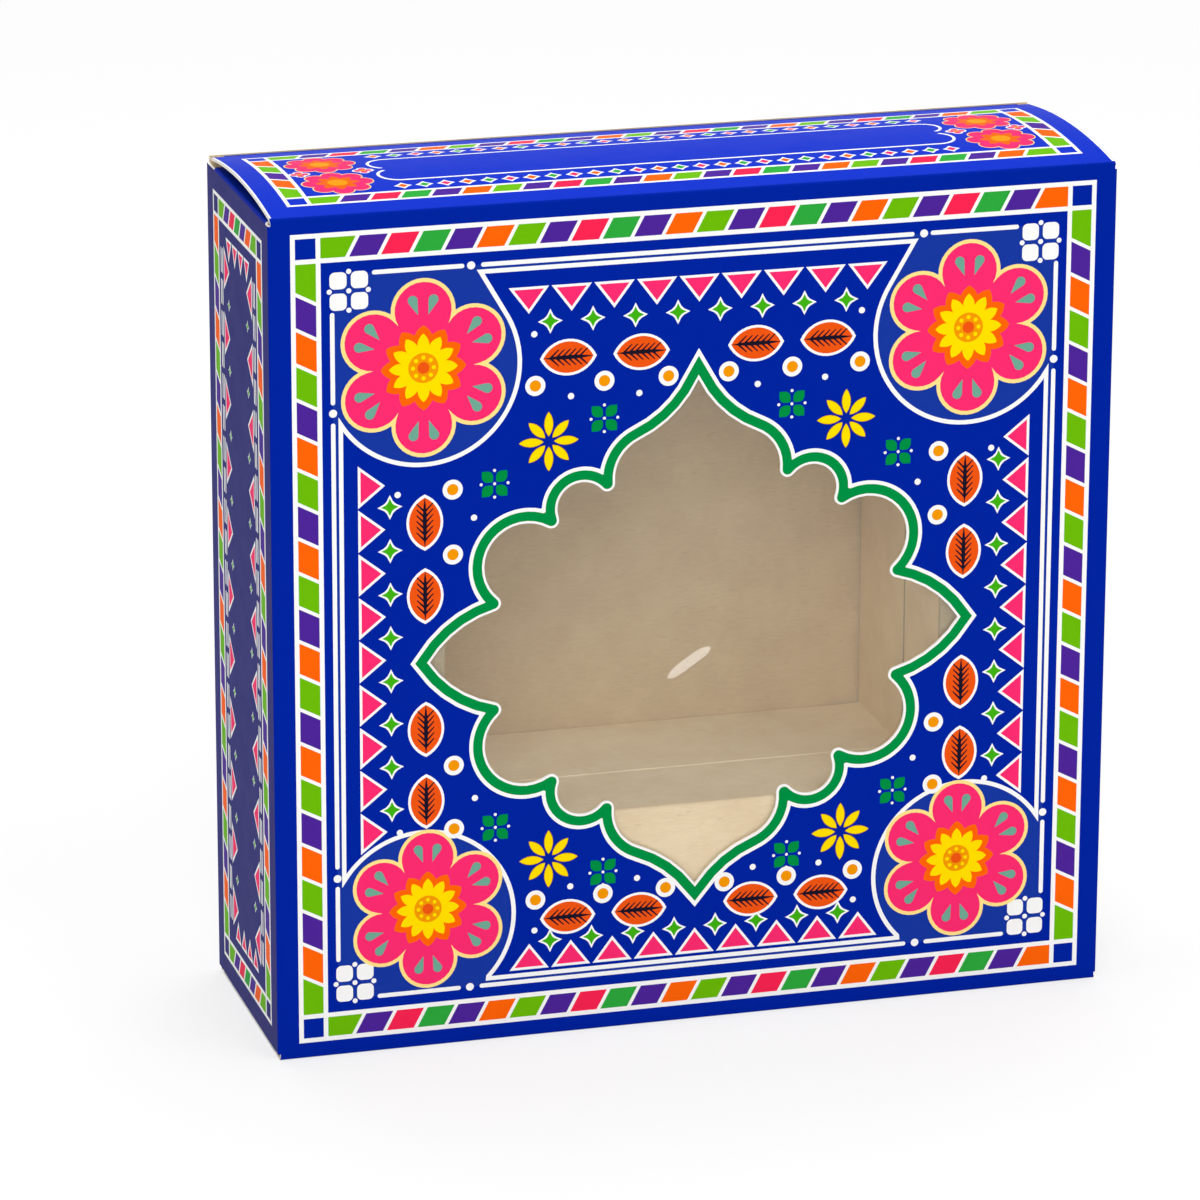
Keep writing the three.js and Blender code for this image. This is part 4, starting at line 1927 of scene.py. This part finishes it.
@dataclass
class Closure:
    """One end of the carton: a panel that folds on the front, its tuck flap and two dust flaps."""

    prefix: str
    panel: str
    level: float
    side: int
    crown: float
    outer_y: float = -25.4
    inner_y: float = -24.9
    hinge_y: float = -25.15
    wall_gap: float = 0.05
    tuck_y: float = 23.35
    half_width: float = 82.15
    hinge_gap: float = 0.3
    tuck_gap: float = 0.37
    tuck_lean: float = 14.0
    tuck_swell: float = 1.15
    fold_steps: int = 10
    dust_drop: float = 0.8
    strips: int = 14
    ground: Ink = Ink.ROYAL_BLUE

    def build(self, art: Artwork) -> None:
        """Makes the panel, the flaps and their folds.

        Args:
            art: the panel's print.
        """
        span = self.tuck_y - self.hinge_y
        across = (float(self.side), 0.0, 0.0)
        face = BowedFace((0, self.hinge_y, self.level), across, (0, 1, 0), span, self.crown)
        near, far = self.hinge_gap, span - self.tuck_gap
        steps = [near + (far - near) * i / self.strips for i in range(self.strips + 1)]
        w = self.half_width
        outline = [(-w, near), (w, near)]
        outline += [(w, v) for v in steps[1:]]
        outline += [(-w, v) for v in reversed(steps[1:])]
        name, levels = f"{self.panel}_panel", tuple(steps[1:-1])
        BoardPanel(name, self.panel, face, art, [outline], levels, self.ground).build()
        lean = math.radians(self.tuck_lean)
        axis = Vector((0, self.tuck_y, self.level - self.side * PLY))
        way = Vector((0, -math.sin(lean), -self.side * math.cos(lean)))
        out = Vector((0, math.cos(lean), -self.side * math.sin(lean)))
        tuck = Face(tuple(axis + out * PLY), across, tuple(way))
        BoardPanel(f"{self.panel}_tuck_flap", f"{self.panel}_tuck", tuck).build()
        self._front_fold(face)
        self._tuck_fold(face, tuck, far)
        for label, sx in (("left", -1), ("right", 1)):
            name = f"{self.prefix}_{label}_dust"
            dust = Face((0, 0, self.level - self.side * self.dust_drop), across, (0, 1, 0))
            BoardPanel(f"{name}_flap", name, dust).build()
            self._dust_fold(name, sx)

    def _front_fold(self, face: BowedFace) -> None:
        """Makes the fold between the front and this panel, which bends as the panel opens.

        Args:
            face: the panel's face.
        """
        up = Vector((0, 0, self.side))
        edge = self.level - self.side * (BOARD + self.wall_gap)
        x = -self.side * self.half_width
        outer_end = face.place(-self.half_width, self.hinge_gap, 0.0)
        inner_end = face.place(-self.half_width, self.hinge_gap, BOARD)
        start = Vector((x, self.outer_y, edge))
        way = (face.place(0, self.hinge_gap + 1, 0) - face.place(0, self.hinge_gap, 0)).normalized()
        outer = bend(start, up, outer_end, way, self.fold_steps)
        inner = [Vector((x, self.inner_y, edge)), inner_end]
        length = Vector((2 * self.side * self.half_width, 0, 0))
        piece = Fold(f"{self.panel}_crease", outer, inner, length).build()
        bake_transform(piece)

    def _tuck_fold(self, face: BowedFace, tuck: Face, far: float) -> None:
        """Makes the fold between this panel and its tuck flap, which swells to the back wall.

        Args:
            face: the panel's face.
            tuck: the flap's face.
            far: where the panel ends.
        """
        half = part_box(f"{self.panel}_tuck_flap")[1].x / MM
        start, inner_start = face.place(-half, far, 0.0), face.place(-half, far, BOARD)
        end, inner_end = tuck.place(-half, self.tuck_gap, 0.0), tuck.place(-half, self.tuck_gap, BOARD)
        way = (face.place(0, far, 0) - face.place(0, far - 1, 0)).normalized()
        outer = bend(start, way, end, Vector(tuck.up), self.fold_steps)
        for i, point in enumerate(outer):
            point.y += self.tuck_swell * math.sin(math.pi * i / self.fold_steps)
        length = Vector((2 * self.side * half, 0, 0))
        piece = Fold(f"{self.panel}_tuck_crease", outer, [inner_start, inner_end], length).build()
        first, last = (start + inner_start) / 2, (end + inner_end) / 2
        first.x = last.x = 0
        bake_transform(piece)

    def _dust_fold(self, name: str, sx: int) -> None:
        """Makes the fold between a side wall and its dust flap.

        Args:
            name: the flap's body.
            sx: the side along x.
        """
        low, high = (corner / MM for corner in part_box(f"{name}_crease"))
        apex = Vector((low.x if sx > 0 else high.x, low.y, low.z if self.side > 0 else high.z))
        turns = arc((0, 0), BOARD, 0, 90, self.fold_steps)
        outer = [apex + Vector((sx * u, 0, self.side * v)) for u, v in turns]
        piece = Fold(f"{name}_crease", outer, [apex], Vector((0, high.y - low.y, 0))).build()
        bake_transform(piece)


@dataclass
class WindowPane:
    """The clear film glued behind the window, with shallow ripples and one small dent."""

    columns: int = 80
    rows: int = 76
    thickness: float = 0.12
    glued_rim: float = 8.0
    fade_width: float = 10.0
    ripple: float = 0.06
    ripple_mm: Point = (9.0, 34.0)
    ripple_skew: float = 0.06
    ripple_phase: float = 0.4
    dent: float = 1.25
    dent_at: Point = (-2.2, 73.5)
    dent_size: Point = (7.6, 2.0)
    dent_turn: float = 33.0
    dent_steps: int = 64
    dent_reach: float = 1.3

    def build(self) -> None:
        """Makes the film in place of its CAD sheet."""
        low, high = (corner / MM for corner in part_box("window_film"))
        us = self._steps(low.x, high.x, self.columns, self.dent_at[0])
        vs = self._steps(low.z, high.z, self.rows, self.dent_at[1])
        u, v = np.meshgrid(us, vs)
        edge = np.minimum.reduce([u - low.x, high.x - u, v - low.z, high.z - v])
        fade = np.clip((edge - self.glued_rim) / self.fade_width, 0, 1)
        fade = fade * fade * (3 - 2 * fade)
        short, long = self.ripple_mm
        across = np.sin(u / short + self.ripple_skew * v)
        wave = 1 + across * np.sin(v / long + self.ripple_phase)
        turn = math.radians(self.dent_turn)
        p = (u - self.dent_at[0]) * math.cos(turn) + (v - self.dent_at[1]) * math.sin(turn)
        q = (v - self.dent_at[1]) * math.cos(turn) - (u - self.dent_at[0]) * math.sin(turn)
        ridge = np.exp(-((p / self.dent_size[0]) ** 4) - (q / self.dent_size[1]) ** 2)
        inward = fade * (self.ripple * wave + self.dent * ridge)
        front = np.stack([u, low.y + inward, v], 2).reshape(-1, 3)
        back = front + np.array([0, self.thickness, 0])
        points = [Vector(p) for p in (*front, *back)]
        wide, tall = len(us), len(vs)
        base = wide * tall
        faces = []
        for j in range(tall - 1):
            for i in range(wide - 1):
                a = j * wide + i
                quad = [a, a + 1, a + 1 + wide, a + wide]
                faces += [quad, [base + k for k in reversed(quad)]]
        rim = list(range(wide))
        rim += [j * wide + wide - 1 for j in range(1, tall)]
        rim += [(tall - 1) * wide + i for i in reversed(range(wide - 1))]
        rim += [j * wide for j in reversed(range(1, tall - 1))]
        faces += [[b, a, base + a, base + b] for a, b in zip(rim, [*rim[1:], rim[0]])]
        film = ClearFilm().material()
        piece = add_piece("window_pane", points, faces, [film], [0] * len(faces), True)
        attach(piece, "carton")
        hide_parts("window_film")

    def _steps(self, low: float, high: float, count: int, dent: float) -> np.ndarray:
        """Spaces the film's points along one side, closer together near the dent.

        Args:
            low: the side's first end.
            high: its last end.
            count: the number of even steps.
            dent: the dent's place.

        Returns:
            The points' places, in order.
        """
        reach = self.dent_reach * self.dent_size[0]
        fine = np.linspace(dent - reach, dent + reach, self.dent_steps + 1)
        even = np.linspace(low, high, count + 1)
        return np.sort(np.concatenate([even[np.abs(even - dent) > reach], fine]))


@dataclass
class Interior:
    """The fitment with its scored deck and cheeks, the glue flap and the glue bands."""

    board_nodes: tuple[str, ...] = (
        "fitment_apron",
        "fitment_apron_crease",
        "fitment_rear_flange",
        "fitment_rear_crease",
        "fitment_left_crease",
        "fitment_right_crease",
        "glue_flap",
    )
    wing_nodes: tuple[str, ...] = (
        "fitment_left_wing",
        "fitment_left_wing_crease",
        "fitment_right_wing",
        "fitment_right_wing_crease",
    )
    glue_nodes: tuple[str, ...] = ("seam_glue", "window_glue", "fitment_glue")
    score_y: float = -3.2
    score_width: float = 0.9
    score_depth: float = 0.22
    score_steps: int = 8

    def build(self) -> None:
        """Makes the scored deck and cheeks, and dresses the nodes that stay."""
        low, high = (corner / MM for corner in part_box("fitment_deck"))
        # The deck takes the lighter board, as painted light from above.
        self._scored("fitment_deck", PAINTED_LIGHT_DECK_BOARD, Vector((0, 0, 1)), high.z, low.x, high.x)
        for label, side in (("left", 1), ("right", -1)):
            node = f"fitment_{label}_cheek"
            low, high = (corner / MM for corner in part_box(node))
            level = high.x if side > 0 else -low.x
            self._scored(node, CHEEK_BOARD, Vector((side, 0, 0)), level, low.z, high.z)
        self._dress()

    def _scored(
        self, node: str, finish: UncoatedBoard, out: Vector, level: float, first: float, last: float
    ) -> None:
        """Makes a sheet of the fitment with a score line across its middle.

        Args:
            node: the CAD node.
            finish: the board's finish.
            out: the way in which its seen face looks.
            level: that face's place along it.
            first: where the sheet starts along the score.
            last: where it ends.
        """
        low, high = (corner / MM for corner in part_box(node))
        along = Vector((1, 0, 0)) if out.z else Vector((0, 0, 1))
        half, depth = self.score_width / 2, self.score_depth
        turns = np.linspace(math.pi, 0, self.score_steps + 1)
        score = [(self.score_y + half * math.cos(t), depth * math.sin(t)) for t in turns]
        face = [(low.y, 0.0), *score, (high.y, 0.0)]
        section = [Vector((0, y, 0)) + out * (level - d) + along * first for y, d in face]
        section += [Vector((0, y, 0)) + out * (level - BOARD) + along * first for y in (high.y, low.y)]
        count = len(section)
        points = [*section, *[p + along * (last - first) for p in section]]
        faces = [[i, (i + 1) % count, count + (i + 1) % count, count + i] for i in range(count)]
        faces += [list(range(count))[::-1], list(range(count, 2 * count))]
        if (section[1] - section[0]).cross(along) @ out < 0:
            faces = [f[::-1] for f in faces]
        board, core = finish.material(), CutBoard().material()
        slots = [0] * len(faces)
        for i in (count - 3, count - 1, count, count + 1):
            slots[i] = 1
        for i in range(1, len(score)):
            slots[i] = 2
        # Painted shade: the cheeks' score grooves take the darker board, standing in for the shade in
        # the crease.
        groove = PAINTED_SHADE_BOARD if out.x else finish
        materials = [board, core, groove.material()]
        piece = add_piece(f"{node}_board", points, faces, materials, slots, True)
        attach(piece, "carton")
        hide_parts(node)

    def _dress(self) -> None:
        """Gives each CAD node that stays its finish."""
        for nodes, material in (
            (self.board_nodes, CHEEK_BOARD.material()),
            # Painted shade: the wings take the darker board, so that they sink into the shade inside the
            # box.
            (self.wing_nodes, PAINTED_SHADE_BOARD.material()),
            (self.glue_nodes, DriedGlue().material()),
        ):
            for node in nodes:
                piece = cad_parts[node]
                for slot in piece.material_slots:
                    slot.material = material
                LOG.info("%s: %s", node, material.name)


def seen_rays(tree: bpy.types.NodeTree) -> bpy.types.NodeSocket:
    """Finds the rays by which a thing is seen, straight on, mirrored or through film.

    Args:
        tree: the shader tree.

    Returns:
        A socket that is 1 for those rays and 0 for the others.
    """
    path = add_node(tree, "ShaderNodeLightPath").outputs
    seen = path["Is Camera Ray"]
    for kind in ("Is Glossy Ray", "Is Transmission Ray"):
        either = add_node(tree, "ShaderNodeMath", {"operation": "MAXIMUM"}, {0: seen, 1: path[kind]})
        seen = either.outputs[0]
    return seen


@dataclass(frozen=True)
class Softbox:
    """A square lamp: where it hangs and its side, in metres, and its power in watts."""

    name: str
    at: Triple
    size: float
    power: float


SOFTBOXES = (
    Softbox("key_softbox", (0.8, -1.2, 1.6), 1.3, 12.5),
    Softbox("top_softbox", (0.1, 0.5, 1.9), 1.6, 31.0),
    Softbox("front_softbox", (-0.7, -1.8, 1.15), 1.2, 18.5),
    Softbox("left_softbox", (-1.9, -0.5, 0.7), 1.2, 5.0),
)


@dataclass
class Studio:
    """A white floor, four softboxes, a dim world and the camera."""

    camera_at: Triple = (-0.3489, -1.1769, 0.4718)
    azimuth: float = -15.98
    elevation: float = 17.82
    roll: float = 0.17
    lens: float = 199.9
    sensor_width: float = 36.0
    sight: float = 50.0
    lamp_aim: Triple = (0.0, 0.0, 0.08)
    floor_half: float = 6.0
    floor_colour: str = "#FCFCFC"
    floor_lift: float = 0.66
    ambient: float = 0.12

    def build(self) -> None:
        """Makes the floor, the lamps, the world and the camera."""
        bpy.context.scene.view_settings.view_transform = "Standard"
        self._floor()
        self._world()
        for softbox in SOFTBOXES:
            self._lamp(softbox)
        self._camera()

    def _camera(self) -> None:
        """Makes the camera, which looks back along its azimuth and elevation."""
        scene = bpy.context.scene
        azimuth, elevation = math.radians(self.azimuth), math.radians(self.elevation)
        level = math.cos(elevation)
        back = Vector((math.sin(azimuth) * level, -math.cos(azimuth) * level, math.sin(elevation)))
        right = Vector((0, 0, 1)).cross(back).normalized()
        upright = back.cross(right)
        c, s = math.cos(math.radians(self.roll)), math.sin(math.radians(self.roll))
        axes = Matrix((right * c + upright * s, upright * c - right * s, back)).transposed()
        data = bpy.data.cameras.new("camera")
        data.lens = self.lens
        data.sensor_width = self.sensor_width
        data.clip_end = self.sight
        camera = bpy.data.objects.new("camera", data)
        camera.matrix_world = Matrix.Translation(self.camera_at) @ axes.to_4x4()
        scene.collection.objects.link(camera)
        scene.camera = camera

    def _floor(self) -> None:
        """Makes the pale floor."""
        r = self.floor_half
        mesh = bpy.data.meshes.new("floor")
        mesh.from_pydata([(-r, -r, 0), (r, -r, 0), (r, r, 0), (-r, r, 0)], [], [(0, 1, 2, 3)])
        material, tree, output = new_material("matt_white_floor")
        paint = add_node(tree, "ShaderNodeBsdfDiffuse", {"Color": linear(self.floor_colour)})
        white = add_node(tree, "ShaderNodeEmission", {"Color": WHITE_LIGHT})
        lift = add_node(
            tree,
            "ShaderNodeMath",
            {"operation": "MULTIPLY", 1: self.floor_lift},
            {0: seen_rays(tree)},
        )
        shader = add_node(
            tree,
            "ShaderNodeMixShader",
            None,
            {0: lift.outputs[0], 1: paint.outputs[0], 2: white.outputs[0]},
        )
        tree.links.new(shader.outputs[0], output.inputs["Surface"])
        mesh.materials.append(material)
        floor = bpy.data.objects.new("floor", mesh)
        bpy.context.scene.collection.objects.link(floor)

    def _world(self) -> None:
        """Makes the surroundings: white where they are seen, and dimmer as a light."""
        world = bpy.data.worlds.new("studio")
        world.use_nodes = True
        tree = world.node_tree
        tree.nodes.clear()
        strength = add_node(
            tree,
            "ShaderNodeMapRange",
            {"To Min": self.ambient, "To Max": 1.0},
            {"Value": seen_rays(tree)},
        )
        light = add_node(
            tree,
            "ShaderNodeBackground",
            {"Color": WHITE_LIGHT},
            {"Strength": strength.outputs["Result"]},
        )
        add_node(tree, "ShaderNodeOutputWorld", None, {"Surface": light.outputs["Background"]})
        bpy.context.scene.world = world

    def _lamp(self, softbox: Softbox) -> None:
        """Hangs a lamp that faces the box.

        Args:
            softbox: the lamp.
        """
        data = bpy.data.lights.new(softbox.name, "AREA")
        data.size = softbox.size
        data.energy = softbox.power
        lamp = bpy.data.objects.new(softbox.name, data)
        lamp.location = softbox.at
        facing = Vector(softbox.at) - Vector(self.lamp_aim)
        lamp.rotation_euler = facing.to_track_quat("Z", "Y").to_euler()
        bpy.context.scene.collection.objects.link(lamp)


def main() -> None:
    """Builds and dresses the box, piece by piece."""
    logging.basicConfig(level=logging.INFO, format="%(name)s %(message)s")
    Studio().build()
    Sleeve().build()
    # The lid's ground is the lighter blue, as painted sheen and light from above.
    lid = Closure("top", "lid", level=165.1, side=1, crown=1.8, ground=Ink.LID_BLUE)
    lid.build(LidArt().compose())
    Closure("bottom", "bottom", level=0.0, side=-1, crown=0.0).build(Artwork())
    WindowPane().build()
    Interior().build()


if __name__ == "__main__":
    main()
